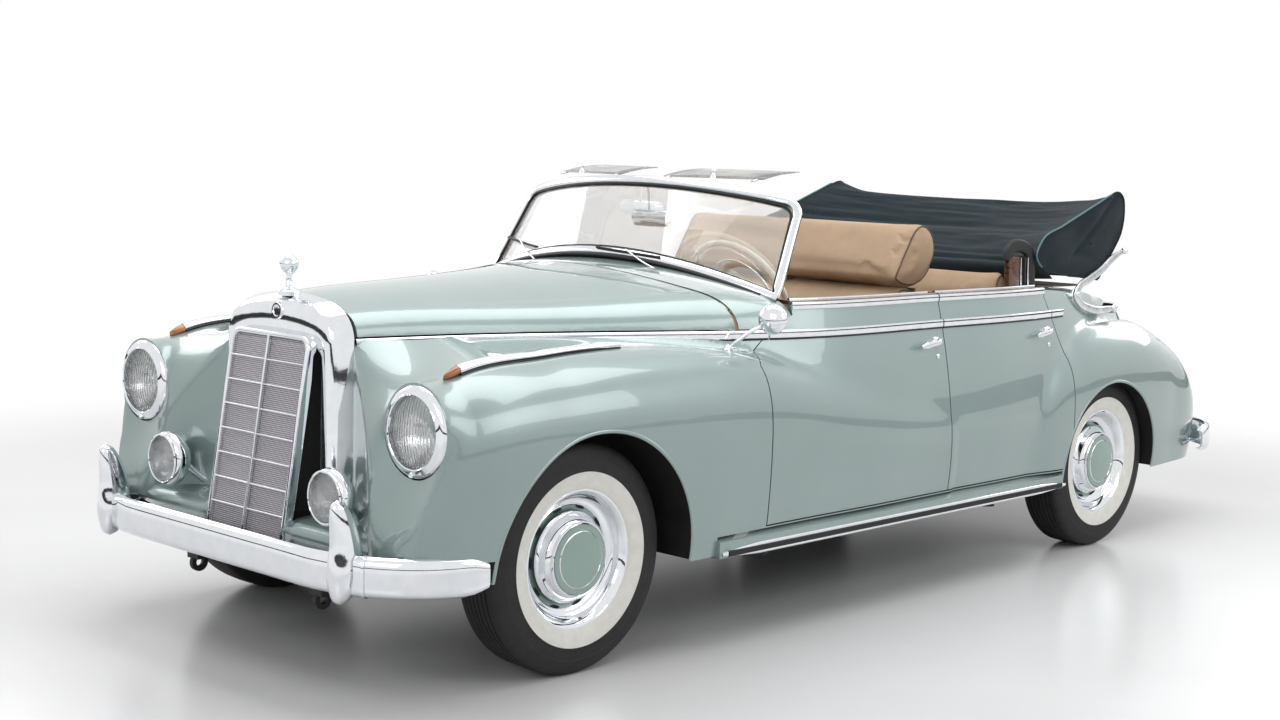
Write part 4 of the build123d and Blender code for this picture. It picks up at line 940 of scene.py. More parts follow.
def inner_wing():
    verts = []
    rows = list(np.linspace(-2.120, -0.886, 50))
    for y in rows:
        inner_x, inner_z = row_at(FRONT_WING_SECTIONS, y * 1000)[:2] / 1000
        lean = 0.0 if y < -2.0 else 0.02
        for share in np.linspace(0, 1, 8):
            foot = 0.80 if -2.08 < y < -1.115 else 0.42
            verts.append((inner_x + 0.004 + lean * math.sin(math.pi * share), y, foot + (inner_z - 0.006 - foot) * share))
    made = piece("inner_wing_left", verts, grid_faces(len(rows), 8), CHASSIS_BLACK, smooth=None)
    applied(made, "SOLIDIFY", thickness=0.003, offset=0)
    chosen(made)
    bpy.ops.object.shade_smooth_by_angle(angle=math.radians(40))
    mirror_of(made, "inner_wing_right", BODY)
    # The wheel house closes the space over the wheel
    verts = []
    for turn in np.radians(np.linspace(-5, 168, 40)):
        for x in (0.40, 0.55, 0.70, 0.86):
            y, z = -1.660 + 0.425 * math.cos(turn), 0.345 + 0.425 * math.sin(turn)
            verts.append((max(x, 0.40) if x < 0.8 else side_x(y, max(z, 0.31)) - 0.012, y, z))
    made = piece("front_wheel_house_left", verts, grid_faces(40, 4), CHASSIS_BLACK, smooth=None)
    applied(made, "SOLIDIFY", thickness=0.003, offset=0)
    chosen(made)
    bpy.ops.object.shade_smooth_by_angle(angle=math.radians(40))
    mirror_of(made, "front_wheel_house_right", BODY)
    verts = []
    for turn in np.radians(np.linspace(-3, 183, 40)):
        for x in (0.60, 0.72, 0.86):
            y, z = 1.355 + 0.385 * math.cos(turn), 0.330 + 0.385 * math.sin(turn)
            verts.append((x if x < 0.8 else side_x(y, max(z, 0.31)) - 0.012, y, z))
    inner = [(0.60, v[1], v[2]) for v in verts[::3]]
    count = len(verts)
    verts += [(0.60, 1.355, 0.33)]
    faces = grid_faces(40, 3) + [(3 * i, 3 * (i + 1), count) for i in range(39)]
    made = piece("rear_wheel_house_left", verts, faces, CHASSIS_BLACK, smooth=None)
    applied(made, "SOLIDIFY", thickness=0.003, offset=0)
    chosen(made)
    bpy.ops.object.shade_smooth_by_angle(angle=math.radians(40))
    mirror_of(made, "rear_wheel_house_right", BODY)


inner_wing()
print("inner panels made")

# %% [markdown]
# ## Nose: shell, grille and lamps
# The plated shell is a deep arch drawn from sheet brass, its front edge rounded into a flat face. Inside
# it a separate frame holds the mesh, and the gap between them is dark. The frame leans, so the gap is wide
# at its foot. The shell is swept round one arched path, which keeps its edges even.

# %% Radiator shell
SHELL_BACK = -2.141


def arch_path(half, top, corner, foot, count=16):
    """The left half of the shell's arch, from the foot to the crown, as (x, z)."""
    points = [(half, foot), (half, foot + 0.2), (half, foot + 0.4), (half, top - corner)]
    points += [tuple(p) for p in bow((half, top - corner), (half * 0.86, top - corner * 0.42),
                                     (half * 0.55, top - corner * 0.12), 10)[1:]]
    points += [tuple(p) for p in bow((half * 0.55, top - corner * 0.12), (0, top),
                                     (-half * 0.55, top - corner * 0.12), 2 * count + 1)[:count + 1]]
    return points


def shell():
    """Rings of the shell from its back edge over the rounded front to the throat inside."""
    # depth from the back edge forwards, half width, crown, corner height
    rings = ((0.0, 0.302, 1.134, 0.117), (0.020, 0.293, 1.127, 0.114), (0.042, 0.282, 1.117, 0.110),
             (0.054, 0.276, 1.111, 0.108), (0.061, 0.269, 1.103, 0.106), (0.064, 0.260, 1.093, 0.103),
             (0.065, 0.243, 1.040, 0.075), (0.065, 0.229, 1.008, 0.058), (0.062, 0.224, 1.002, 0.054),
             (0.054, 0.221, 0.999, 0.052), (0.030, 0.220, 0.998, 0.052), (-0.010, 0.219, 0.997, 0.052))
    half = len(arch_path(1, 1, 1, 0))
    verts = []
    for depth, width, crown, corner in rings:
        line = arch_path(width, crown, corner, 0.388)
        whole = line + [(-x, z) for x, z in line[-2::-1]]
        verts += [(x, SHELL_BACK - depth, z) for x, z in whole]
    count = 2 * half - 1
    made = piece("plated_shell", verts, grid_faces(len(rings), count), CHROME, smooth=None)
    outwards(made)
    if made.data.polygons[2].normal.x < 0 and made.data.polygons[2].center.x > 0:
        made.data.flip_normals()
    applied(made, "SOLIDIFY", thickness=0.002, offset=-1)
    chosen(made)
    bpy.ops.object.shade_smooth_by_angle(angle=math.radians(35))
    return made


plated_shell = shell()
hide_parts("radiator_shell")


# %% Grille frame, mesh and bars
LEAN = math.atan2(0.100, 0.635)


def on_grille(x, up, out):
    """A point on the leaning grille: up along it from its foot, out from its face."""
    return (x, -2.315 + math.sin(LEAN) * up - math.cos(LEAN) * out, 0.385 + math.cos(LEAN) * up + math.sin(LEAN) * out)


GRILLE_HEIGHT = 0.636


def grille_line(inset):
    """The frame's outline with rounded upper corners, from the left foot over to the right foot."""
    half, top = 0.205 - inset, GRILLE_HEIGHT - inset
    corner = [(half - 0.035 + 0.035 * math.cos(t), top - 0.035 + 0.035 * math.sin(t)) for t in np.linspace(0, math.pi / 2, 8)]
    left = [(half, 0.004), (half, 0.2), (half, 0.4)] + corner
    return left + [(0, top)] + [(-x, u) for x, u in left[::-1]]


outer = grille_line(0.009)
frame_path = [on_grille(x, u, 0.0) for x, u in outer]
out = Vector(on_grille(0, 0, 1)) - Vector(on_grille(0, 0, 0))
grille_frame = swept("grille_frame", frame_path, rounded(0.017, 0.036, 0.006), CHROME, tuple(out))
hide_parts("grille")


def woven_mesh():
    """The mesh itself: crossed half-round wires, drawn at an 8.5 mm pitch so that they show."""
    made, tree, surface, place = material("grille_wire_mesh", Metallic=1.0, Roughness=0.38)
    turned = node(tree, "Mapping", {"Vector": place, "Rotation": (0, 0, 0)})
    spots = []
    # Wires run up and across; a woven pitch of 4 mm is drawn at 6 mm
    for direction, scale in (("X", 52.0), ("Z", 52.0)):
        spots.append(node(tree, "TexWave", {"Vector": turned.outputs[0], "Scale": scale}, bands_direction=direction,
                          wave_profile="SIN").outputs["Fac"])
    crossing = node(tree, "Math", {0: spots[0], 1: spots[1]}, operation="MAXIMUM").outputs[0]
    # The colour is painted light: near black between the wires, painted shade where the holes would look into the dark,
    # and lighter along the wires' crowns, a painted highlight
    tone = stops(node(tree, "ValToRGB", {"Fac": crossing}), (0.35, "#1d1b1e"), (0.62, "#8c888d"), (0.95, "#c8c5ca"))
    tree.links.new(tone, surface.inputs["Base Color"])
    tree.links.new(spread(tree, noise(tree, place, 0.04).outputs["Fac"], 0.3, 0.5), surface.inputs["Roughness"])
    bumped(tree, surface, crossing, 0.002)
    return made


MESH = woven_mesh()
verts = [on_grille(-0.192 + 0.384 * i / 24, 0.006 + 0.612 * j / 30, 0.004 + 0.004 * math.sin(math.pi * i / 24))
         for j in range(31) for i in range(25)]
grille_mesh = piece("grille_mesh", verts, grid_faces(31, 25), MESH)
applied(grille_mesh, "SOLIDIFY", thickness=0.004, offset=0)
swept("grille_upright", [on_grille(0, u, 0.016) for u in (0.01, 0.2, 0.4, 0.625)], rounded(0.009, 0.012, 0.003), CHROME,
      tuple(out))
for i in range(7):
    u = 0.082 + i * 0.0775
    swept(f"grille_bar_{i + 1}", [on_grille(x, u, 0.012) for x in (-0.196, -0.07, 0.07, 0.196)],
          rounded(0.0055, 0.009, 0.0022), CHROME, tuple(out))

# A dark baffle stands behind the mesh
pressed_panel("radiator_core", [(-0.215, -2.10, 0.39), (0.215, -2.10, 0.39), (0.215, -2.10, 1.03), (-0.215, -2.10, 1.03)],
              -0.004, CHASSIS_BLACK, swage=0.02)
print("grille made")

# %% Plain boss and finial on the shell
spun("shell_boss", [(0, 0), (0.004, 0.0), (0.0045, 0.016), (0.0075, 0.019), (0.0075, 0.024), (0.001, 0.027), (-0.004, 0.027)],
     (0, -2.203, 1.077), (0, -1, 0.05), CHROME, steps=48)
spun("finial", [(-0.01, 0.0), (-0.01, 0.034), (0.004, 0.036), (0.010, 0.030), (0.016, 0.015), (0.026, 0.010), (0.044, 0.008),
                (0.056, 0.010), (0.062, 0.017), (0.074, 0.026), (0.088, 0.030), (0.102, 0.026), (0.114, 0.015), (0.120, 0.004),
                (0.121, 0.0)], (0, -2.163, 1.133), (0, 0, 1), CHROME, steps=48)

# %% [markdown]
# A lamp is a pressed bowl with a bright rim, a glass moulded with upright flutes that spread the beam, and
# a mirror behind it. The bulb shield gives the dark middle that one sees through the glass.


# %% Headlamps and fog lamps
def fluted_glass(name, flutes):
    """Lens glass pressed with upright flutes of that pitch in metres."""
    made, tree, surface, place = material(name, Roughness=0.03, IOR=1.5, Transmission_Weight=0.9)
    wave = node(tree, "TexWave", {"Vector": place, "Scale": 0.314 / flutes, "Distortion": 0.3}, bands_direction="X")
    haze = noise(tree, place, 0.05)
    tree.links.new(shade(tree, haze.outputs["Fac"], "#eef0f0", "#ffffff"), surface.inputs["Base Color"])
    tree.links.new(spread(tree, wave.outputs["Fac"], 0.03, 0.10), surface.inputs["Roughness"])
    bumped(tree, surface, wave.outputs["Fac"], 0.0012)
    return made


HEAD_GLASS = fluted_glass("fluted_headlamp_glass", 0.012)
FOG_GLASS = fluted_glass("pressed_fog_lamp_glass", 0.004)
REFLECTOR = plating("silvered_reflector", "#c9cbce", 0.16)


def lamp_set(name, centre, ring, glass, depth, bulge, finish):
    """Rim, bowl, mirror, shield and glass of a left lamp, and their mirror images."""
    facing = (0, -1, 0)
    rim = [(-depth, 0.0), (-depth, ring * 0.62), (-0.03, ring - 0.004), (-0.018, ring), (-0.004, ring),
           (0.006, ring - 0.005), (0.011, ring - 0.012), (0.012, (ring + glass) / 2), (0.015, glass + 0.008),
           (0.018, glass + 0.003), (0.016, glass), (0.006, glass - 0.001), (-0.012, glass - 0.002)]
    parts = [(spun(name + "_rim", rim, centre, facing, CHROME, steps=96), "chrome")]
    bowl = [(-depth * 0.8 + depth * 0.72 * t ** 2, 0.004 + (glass - 0.004) * t) for t in np.linspace(0, 1, 14)]
    parts.append((spun(name + "_mirror", bowl, centre, facing, REFLECTOR, steps=64), "chrome"))
    shield = [(-0.03, 0.0), (-0.03, glass * 0.2), (-0.02, glass * 0.22), (-0.012, glass * 0.15), (-0.009, 0.0)]
    parts.append((spun(name + "_shield", shield, centre, facing, SATIN, steps=32), "chrome"))
    lens = [(bulge * (1 - (r / glass) ** 2) + 0.004, r) for r in np.linspace(0, glass - 0.001, 12)]
    lens += [(p - 0.004, r) for p, r in lens[::-1]]
    parts.append((spun(name + "_glass", lens, centre, facing, finish, steps=96), "lamp_glass"))
    for made, slot in parts:
        stem = made.name
        made.name = made.data.name = stem + "_left"
        made_pieces[made_pieces.index(stem)] = made.name
        mirror_of(made, stem + "_right", BODY)
    return parts[0][0], parts[3][0]


head_rim, head_glass = lamp_set("headlamp", (0.712, -2.235, 0.787), 0.137, 0.106, 0.09, 0.022, HEAD_GLASS)
fog_rim, fog_glass = lamp_set("fog_lamp", (0.432, -2.330, 0.567), 0.088, 0.074, 0.06, 0.011, FOG_GLASS)
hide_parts("lamp_rings")
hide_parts("lamp_glasses")
stalk = swept("fog_lamp_stalk_left", [(0.432, -2.275, 0.560), (0.425, -2.235, 0.520), (0.415, -2.20, 0.49), (0.40, -2.15, 0.47)],
              ring_section(0.026, 0.026), CHROME, (1, 0, 0))
mirror_of(stalk, "fog_lamp_stalk_right", BODY)
# Small clamp screws under the headlamp rims
screw = spun("rim_screw_left", [(0, 0.0), (0.006, 0.002), (0.008, 0.006), (0.004, 0.009), (-0.004, 0.009)],
             (0.712, -2.247, 0.664), (0, -1, 0), CHROME, steps=20)
mirror_of(screw, "rim_screw_right", BODY)
print("lamps made")


# %% [markdown]
# ## Bumpers
# A bumper is a rolled steel blade, crowned across its face, that curves back round the wings. It is plated,
# so the crown gives one bright line along its whole length. The blade is made by sweeping a crowned section
# along the same curve in plan as the modelled one, and drawing it in at its ends.


# %% Bumper blades
def plan_curve(half, y, end_y, share, straight=0.47, count=26):
    """The blade's centre line in plan, from the left end to the right end."""
    bend = (half * 0.86, y + (end_y - y) * share)
    right = [tuple(p) for p in bow((straight, y), bend, (half, end_y), count)] + [(half, end_y)]
    line = right[::-1] + [(x, y) for x in np.linspace(straight, -straight, 12)[1:-1]] + [(-x, yy) for x, yy in right]
    return line


def blade_section(height, thick, sign):
    """A crowned blade: bulging face outside, flat and thin behind, with rolled edges."""
    face = [(thick * 0.55 * (1 - (2 * t - 1) ** 4) ** 0.5 if 0 < t < 1 else 0.0, height * (t - 0.5))
            for t in np.linspace(0, 1, 17)]
    back = [(max(p - 0.006, -0.004) - 0.001, z * 0.96) for p, z in face[::-1]]
    return [(sign * p, z) for p, z in face + back]


def blade(name, half, y, end_y, share, bottom, finish):
    line = plan_curve(half, y, end_y, share)
    height = 0.118
    path = [(x, yy, bottom + height / 2) for x, yy in line]
    n = len(path)
    scale = []
    for i in range(n):
        edge = min(i, n - 1 - i)
        tall = 1.0 - 0.30 * max(0, 1 - edge / 3.0) ** 2
        scale.append((1.0, tall))
    return swept(name, path, blade_section(height, 0.042, -1 if y < 0 else 1), finish, (0, 0, 1),
                 scale=scale, smooth=50)


front_blade = blade("front_bumper_blade", 0.866, -2.432, -2.095, 0.30, 0.322, CHROME)
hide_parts("front_bumper")
rear_blade = blade("rear_bumper_blade", 0.910, 2.432, 2.110, 0.22, 0.334, CHROME)
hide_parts("rear_bumper")


def overrider(name, x, face_y, sign, bottom, top, strip):
    """A tall guard: a rounded column, wider at its foot, that leans over the blade. A strip's path is worked out, but
    no strip is made.
    """
    rows, count = 26, 20
    verts = []
    for i in range(rows):
        t = i / (rows - 1)
        z = bottom + (top - bottom) * t
        swell = math.sin(math.pi * min(max(t, 0.0), 1.0)) ** 0.35 if 0 < t < 1 else 0.02
        foot = 1 + 0.38 * math.exp(-((t - 0.22) / 0.22) ** 2)
        wide = 0.034 * swell * foot * (1 - 0.12 * t)
        deep = 0.050 * swell * (1 + 0.25 * math.exp(-((t - 0.3) / 0.25) ** 2))
        lean = 0.018 * math.sin(math.pi * t) - 0.030 * max(0, t - 0.55)
        for j in range(count):
            a = math.tau * j / count
            c, s = math.cos(a), math.sin(a)
            verts.append((x + wide * math.copysign(abs(c) ** 0.8, c),
                          face_y + sign * (lean + deep * math.copysign(abs(s) ** 0.8, s) * 0.9), z))
    faces = grid_faces(rows, count, True) + [tuple(range(count))[::-1], tuple(range((rows - 1) * count, rows * count))]
    made = piece(name, verts, faces, CHROME, smooth=None)
    outwards(made)
    chosen(made)
    bpy.ops.object.shade_smooth_by_angle(angle=math.radians(50))
    if strip:
        path = []
        for t in np.linspace(0.42, 0.9, 14):
            swell = math.sin(math.pi * t) ** 0.35
            deep = 0.050 * swell * (1 + 0.25 * math.exp(-((t - 0.3) / 0.25) ** 2))
            lean = 0.018 * math.sin(math.pi * t) - 0.030 * max(0, t - 0.55)
            path.append((x, face_y + sign * (lean - 0.9 * deep * 1.0) * 1.0 - sign * 0.001, bottom + (top - bottom) * t))
    return made


for end, sign, face_y, bottom in (("front", 1, -2.425, 0.296), ("rear", -1, 2.425, 0.308)):
    for side, s in (("left", 1), ("right", -1)):
        overrider(f"{end}_overrider_{side}", s * 0.618, face_y, sign, bottom, bottom + 0.304, True)
        # A narrow collar beside each guard, where the lengths of the blade meet
        half, end_y, share = (0.866, -2.095, 0.30) if end == "front" else (0.910, 2.110, 0.22)
        line = [p for p in plan_curve(half, face_y - sign * 0.007, end_y, share, count=60) if 0.664 < s * p[0] < 0.682]
        path = [(x, y, bottom + 0.085) for x, y in line]
        swept(f"{end}_blade_collar_{side}", path, [(p * 1.10, z * 1.05) for p, z in blade_section(0.118, 0.048, -sign)],
              CHROME, (0, 0, 1), smooth=50)
print("bumpers made")

# %% [markdown]
# ## Wheels and tyres
# A cross-ply tyre of the time has a round shoulder, a broad white side wall with a fine rib at its edge, and
# straight ribs and grooves in its tread. It is one profile turned about the axle, so the profile holds all of
# that. The pressed wheel shows as a painted disc, a bright outer ring with slots, and a domed cap.

# %% Tyres with white walls
def tyre_profile():
    """Half profiles of rubber and white wall as (across from the middle plane, radius)."""
    tread = []
    for groove in range(-3, 4):
        x = groove * 0.0185
        top = 0.359 - 0.0022 * (groove / 3.2) ** 2
        tread += [(x - 0.0072, top - 0.0004), (x, top), (x + 0.0072, top - 0.0004)]
        if groove < 3:
            tread += [(x + 0.0078, top - 0.006), (x + 0.0106, top - 0.006)]
    shoulder = [(0.0700, 0.3548), (0.0765, 0.3495), (0.0820, 0.3400), (0.0862, 0.3290), (0.0893, 0.3150),
                (0.0905, 0.3110), (0.0895, 0.3090), (0.0912, 0.2990), (0.0924, 0.2850), (0.0926, 0.2760)]
    edge = [(0.0935, 0.2745), (0.0933, 0.2725)]
    wall = [(0.0922, 0.2715), (0.0912, 0.2600), (0.0885, 0.2450), (0.0840, 0.2300), (0.0800, 0.2210), (0.0760, 0.2160),
            (0.0700, 0.2080), (0.0660, 0.2050)]
    return tread, shoulder, edge, wall


TREAD, SHOULDER, RIB, WALL = tyre_profile()


def tyre(name, x, y, s, body):
    """Rubber as one closed ring, and the white wall as a thin skin on its outer side."""
    centre, axis = (s * x, y, 0.359), (s, 0, 0)
    inner = [(-a, r) for a, r in SHOULDER + [(0.0922, 0.2715), (0.088, 0.2450), (0.0800, 0.2210), (0.0660, 0.2050)]]
    outer = SHOULDER + RIB + [(a - 0.0012, r) for a, r in WALL]
    made = spun(name, inner[::-1] + TREAD + outer, centre, axis, TYRE_RUBBER, body, steps=120, smooth=30)
    white = spun("white_wall_" + name[5:], [(a + 0.0004, r) for a, r in WALL] + [(a - 0.003, r) for a, r in WALL[::-1]],
                 centre, axis, WHITEWALL, body, steps=120)
    return made, white


def wheel(name, x, y, s, body):
    """Rim, trim ring, painted disc, slots, cap and its painted boss."""
    centre, axis = (s * x, y, 0.359), (s, 0, 0)
    ring = [(0.058, 0.2190), (0.0735, 0.2185), (0.0765, 0.2150), (0.0762, 0.2105), (0.0715, 0.2040), (0.0640, 0.1975),
            (0.0500, 0.1905), (0.0400, 0.1860), (0.0350, 0.1795), (0.0335, 0.1715), (0.0310, 0.1640), (0.0270, 0.1600),
            (0.0240, 0.1600), (0.0240, 0.1700), (0.0300, 0.1830), (0.0480, 0.1950), (0.0580, 0.2050)]
    trim = spun("trim_ring_" + name, ring, centre, axis, CHROME, body, steps=96, smooth=32)
    disc = [(0.0180, 0.0), (0.0180, 0.120), (0.0210, 0.150), (0.0290, 0.1660), (0.0240, 0.1800), (0.0020, 0.1880),
            (-0.050, 0.1900), (-0.058, 0.2040), (-0.064, 0.2040), (-0.060, 0.1860), (-0.002, 0.1800), (0.0100, 0.1660),
            (0.0080, 0.060), (-0.046, 0.056), (-0.046, 0.022), (0.0, 0.0)]
    painted = spun("wheel_disc_" + name, disc, centre, axis, WHEEL_PAINT, body, steps=72)
    cap = [(0.026, 0.1415), (0.0330, 0.1440), (0.0370, 0.1425), (0.0400, 0.1380), (0.0440, 0.1345), (0.0600, 0.1300),
           (0.0700, 0.1240), (0.0745, 0.1185), (0.0725, 0.1150), (0.0760, 0.1135), (0.0810, 0.1125), (0.0832, 0.1100)]
    dome = [(0.0832 + 0.0010, 0.1085), (0.0860, 0.0950), (0.0885, 0.0750), (0.0903, 0.0500), (0.0914, 0.0250), (0.0917, 0.0)]
    cap_made = spun("hub_cap_" + name, cap + [(0.0800, 0.1080), (0.0400, 0.1300), (0.026, 0.1380)], centre, axis, CHROME,
                    body, steps=96, smooth=30)
    boss = spun("hub_boss_" + name, dome + [(0.0800, 0.0), (0.0800, 0.1085)], centre, axis, WHEEL_PAINT, body,
                steps=72, smooth=35)
    groove = spun("boss_ring_" + name, [(0.0858, 0.0905), (0.0872, 0.0890), (0.0882, 0.0870), (0.0870, 0.0865)], centre, axis, CHROME, body,
                  steps=72)
    # Ten dark slots let air to the brakes; each is a shallow oval cup between ring and cap
    for i in range(10):
        turn = math.tau * (i + 0.5) / 10
        up, along = math.cos(turn), math.sin(turn)
        where = Vector((s * (x + 0.0295), y + 0.1555 * along, 0.359 + 0.1555 * up))
        tangent = Vector((0, up, -along))
        radial = Vector((0, along, up))
        verts, count = [], 14
        for depth, grow in ((0.0, 1.0), (-0.002, 0.92), (-0.004, 0.4)):
            for j in range(count):
                a = math.tau * j / count
                verts.append(where + Vector((s * depth, 0, 0)) + tangent * (0.019 * grow * math.cos(a))
                             + radial * (0.0042 * grow * math.sin(a)))
        faces = grid_faces(3, count, True) + [tuple(range(2 * count, 3 * count))]
        # Each cup is black rubber: painted shade where a real slot would open onto the dark drum behind it
        piece(f"wheel_slot_{i + 1}_{name}", verts, faces, SEAL, body, None)
    return painted


for end, y, x in (("front", FRONT_AXLE, 0.740), ("rear", REAR_AXLE, 0.7625)):
    for side, s in (("left", 1), ("right", -1)):
        key = f"{end}_{side}"
        rubber_ring, _ = tyre("tyre_" + key, x, y, s, "wheel_" + key)
        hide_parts("tyre_" + key)
        painted = wheel(key, x, y, s, "wheel_" + key)
        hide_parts("wheel_" + key)
print("wheels made")

# %% [markdown]
# ## Windscreen
# A curved pane stands in a broad plated frame, raked back. The frame follows the pane's cylinder, so every
# point of its path is found on that cylinder first. A black rubber channel lies between frame and glass.

# %% Frame of the windscreen
def screen_point(x, z, out=0.0):
    """A point on the curved, raked windscreen, out from its face by that much."""
    rake, radius = math.radians(32), 1.700
    # The cylinder's axis leans back with the rake; y is solved on it for this x and z
    best = None
    base = Vector((0, -0.794, 1.210))
    tilt = Matrix.Rotation(-rake, 3, "X")
    centre = base + tilt @ Vector((0, radius, 0))
    up = tilt @ Vector((0, 0, 1))
    low, high = -1.2, 0.2
    for _ in range(40):
        mid = (low + high) / 2
        rel = Vector((x, mid, z)) - centre
        away = (rel - up * rel.dot(up)).length
        low, high = (mid, high) if away > radius - 0 else (low, mid)
    rel = Vector((x, mid, z)) - centre
    normal = (rel - up * rel.dot(up)).normalized()
    return Vector((x, mid, z)) + normal * out, normal


def screen_line(inset, count=10):
    """The frame's centre line: up the left side, over the crown, down the right, back along the foot."""
    low, high, corner = 0.738 - inset, 0.700 - inset, 0.075 - inset * 0.4
    top, crown, base, sill = 1.456 - inset, 1.508 - inset, 1.099 + inset, 1.220 + inset
    side_line = [(low + (high - low) * t, base + (top - corner - base) * t) for t in np.linspace(0, 1, 9)]
    bend = [(high - corner + corner * math.cos(t), top - corner + corner * math.sin(t) * 0.98)
            for t in np.linspace(0.12, math.pi / 2 - 0.1, 7)]
    over = [tuple(p) for p in bow((high - corner, top + 0.001), (0, crown), (corner - high, top + 0.001), 21)] + [(corner - high, top + 0.001)]
    left = side_line + bend
    line = left + over[1:-1] + [(-x, z) for x, z in left[::-1]]
    foot = [tuple(p) for p in bow((-low, base), (0, sill - 0.0), (low, base), 24)][1:]
    return line, foot


line, foot = screen_line(0.014)
placed = [screen_point(x, z) for x, z in line + foot]
path = [p for p, _ in placed]
normals = [tuple(n) for _, n in placed]


def closed_sweep(name, path, normals, section, finish, smooth=40):
    """A section swept round a closed path; its second number runs along the given normals."""
    verts, n = [], len(path)
    for i, here in enumerate(path):
        run = (path[(i + 1) % n] - path[i - 1]).normalized()
        rise = Vector(normals[i])
        rise = (rise - run * rise.dot(run)).normalized()
        wide = run.cross(rise)
        verts += [here + wide * a + rise * b for a, b in section]
    count = len(section)
    faces = grid_faces(n, count, True) + [((n - 1) * count + j, (n - 1) * count + (j + 1) % count, (j + 1) % count, j)
                                          for j in range(count)]
    made = piece(name, verts, faces, finish, BODY, None)
    outwards(made)
    chosen(made)
    bpy.ops.object.shade_smooth_by_angle(angle=math.radians(smooth))
    return made


screen_frame = closed_sweep("windscreen_surround", path, normals, rounded(0.032, 0.034, 0.011), CHROME)
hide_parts("windscreen_frame")
line, foot = screen_line(0.030)
placed = [screen_point(x, z) for x, z in line + foot]
closed_sweep("windscreen_seal", [p for p, _ in placed], [tuple(n) for _, n in placed], rounded(0.009, 0.020, 0.003), SEAL)
line, foot = screen_line(0.0)
placed = [screen_point(x, z - 0.004) for x, z in foot]
swept("windscreen_foot_seal", [p for p, _ in placed], rounded(0.012, 0.040, 0.004), SEAL, (0, -0.85, 0.53))
print("windscreen made")

# %% [markdown]
# ## Bright lines along the body
# A plated moulding hides the joint between bonnet side and wing and runs on along both doors. Under the
# doors a strip with a black rubber insert guards the sill. Each length rides on the panel that carries it,
# so a door takes its own piece with it.

# %% Mouldings and rails
SHUT = 0.0035


def skin_path(y0, y1, z, out, count=40, bonnet=False):
    """Points along the body's side at a height, a little proud of the skin."""
    path = []
    for y in np.linspace(y0, y1, count):
        x = side_x(y, z) if y > -0.95 else 0.0
        if bonnet:
            share = min(max((y + 0.95) / 0.14, 0), 1)
            share = share * share * (3 - 2 * share)
            x = bonnet_side(y) * (1 - share) + share * x if y < -0.81 else x
        path.append((x + out, y, z))
    return path


BELT_LENGTHS = (("body_front", BODY, -2.135, -0.757), ("front_door", "front_door", -0.757 + 2 * SHUT, 0.185 - SHUT),
                ("rear_door", "rear_door", 0.185 + SHUT, 0.970 - SHUT), ("body_rear", BODY, 0.970 + SHUT, 1.085))
for name, body, y0, y1 in BELT_LENGTHS:
    bonnet = name == "body_front"
    on = body if body == BODY else body + "_left"
    other = body if body == BODY else body + "_right"
    made = swept(f"belt_moulding_{name}_left", skin_path(y0, y1, 0.997, 0.003, 60 if bonnet else 34, bonnet),
                 rounded(0.013, 0.029, 0.0055), CHROME, (0, 0, 1), on)
    mirror_of(made, f"belt_moulding_{name}_right", other)
    # Under each moulding a thin black strip is a painted shadow: the dark line that the moulding throws on the skin
    # below it
    made = swept(f"belt_seal_{name}_left", skin_path(y0, y1, 0.9805, 0.0, 60 if bonnet else 34, bonnet),
                 rounded(0.009, 0.005, 0.002), SEAL, (0, 0, 1), on)
    mirror_of(made, f"belt_seal_{name}_right", other)

RAIL_LENGTHS = (("front_door", -0.636, 0.185 - SHUT), ("rear_door", 0.185 + SHUT, 0.943 - SHUT))
for name, y0, y1 in RAIL_LENGTHS:
    made = swept(f"top_rail_{name}_left", skin_path(y0, y1, 1.0885, 0.001, 34), rounded(0.016, 0.027, 0.006), CHROME,
                 (0, 0, 1), name + "_left")
    mirror_of(made, f"top_rail_{name}_right", name + "_right")
    made = swept(f"window_slot_{name}_left", [(x - 0.034, y, 1.1065) for x, y, z in skin_path(y0 + 0.02, y1 - 0.02, 1.0885, 0, 34)],
                 rounded(0.014, 0.012, 0.004), CHROME, (0, 0, 1), name + "_left")
    mirror_of(made, f"window_slot_{name}_right", name + "_right")
    made = swept(f"door_capping_{name}_left", [(x - 0.036, y, 1.099) for x, y, z in skin_path(y0 + 0.004, y1, 1.0885, 0, 34)],
                 rounded(0.074, 0.014, 0.006), WALNUT, (0, 0, 1), name + "_left")
    mirror_of(made, f"door_capping_{name}_right", name + "_right")
print("mouldings made")


# %% Sill strips
STRIP_FRONT, STRIP_REAR = -1.118, 0.985


def strip_path(z, out, y0=STRIP_FRONT, y1=STRIP_REAR):
    return [(0.908 + out, y, z) for y in np.linspace(y0, y1, 24)]


ends = [(1.0, 0.25), (1.0, 0.75)] + [(1, 1)] * 20 + [(1.0, 0.75), (1.0, 0.25)]
made = swept("sill_strip_left", strip_path(0.312, 0.001), rounded(0.016, 0.040, 0.007), CHROME, (0, 0, 1),
             scale=ends)
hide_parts("sill_strips")
mirror_of(made, "sill_strip_right", BODY)
made = swept("sill_rubber_left", strip_path(0.312, 0.007, STRIP_FRONT + 0.03, STRIP_REAR - 0.03), rounded(0.010, 0.020, 0.004),
             SEAL, (0, 0, 1))
mirror_of(made, "sill_rubber_right", BODY)

# %% [markdown]
# On each wing's top lies a long plated blade with an amber lamp at its head, on a black rubber edge. It
# follows the wing's crest, so its points are read from the skin itself.


# %% Blades on the wing tops
def crest_point(y, x):
    """A point of the wing's top at y and x, and the direction away from the skin there."""
    angles = np.radians(np.arange(20, 150, 0.5))
    points = skin_row(y * 1000, angles) / 1000
    order = np.argsort(points[:, 0])
    z = float(np.interp(x, points[order, 0], points[order, 1]))
    step = float(np.interp(x + 0.01, points[order, 0], points[order, 1])) - z
    return Vector((x, y, z)), Vector((-step, 0, 0.01)).normalized()


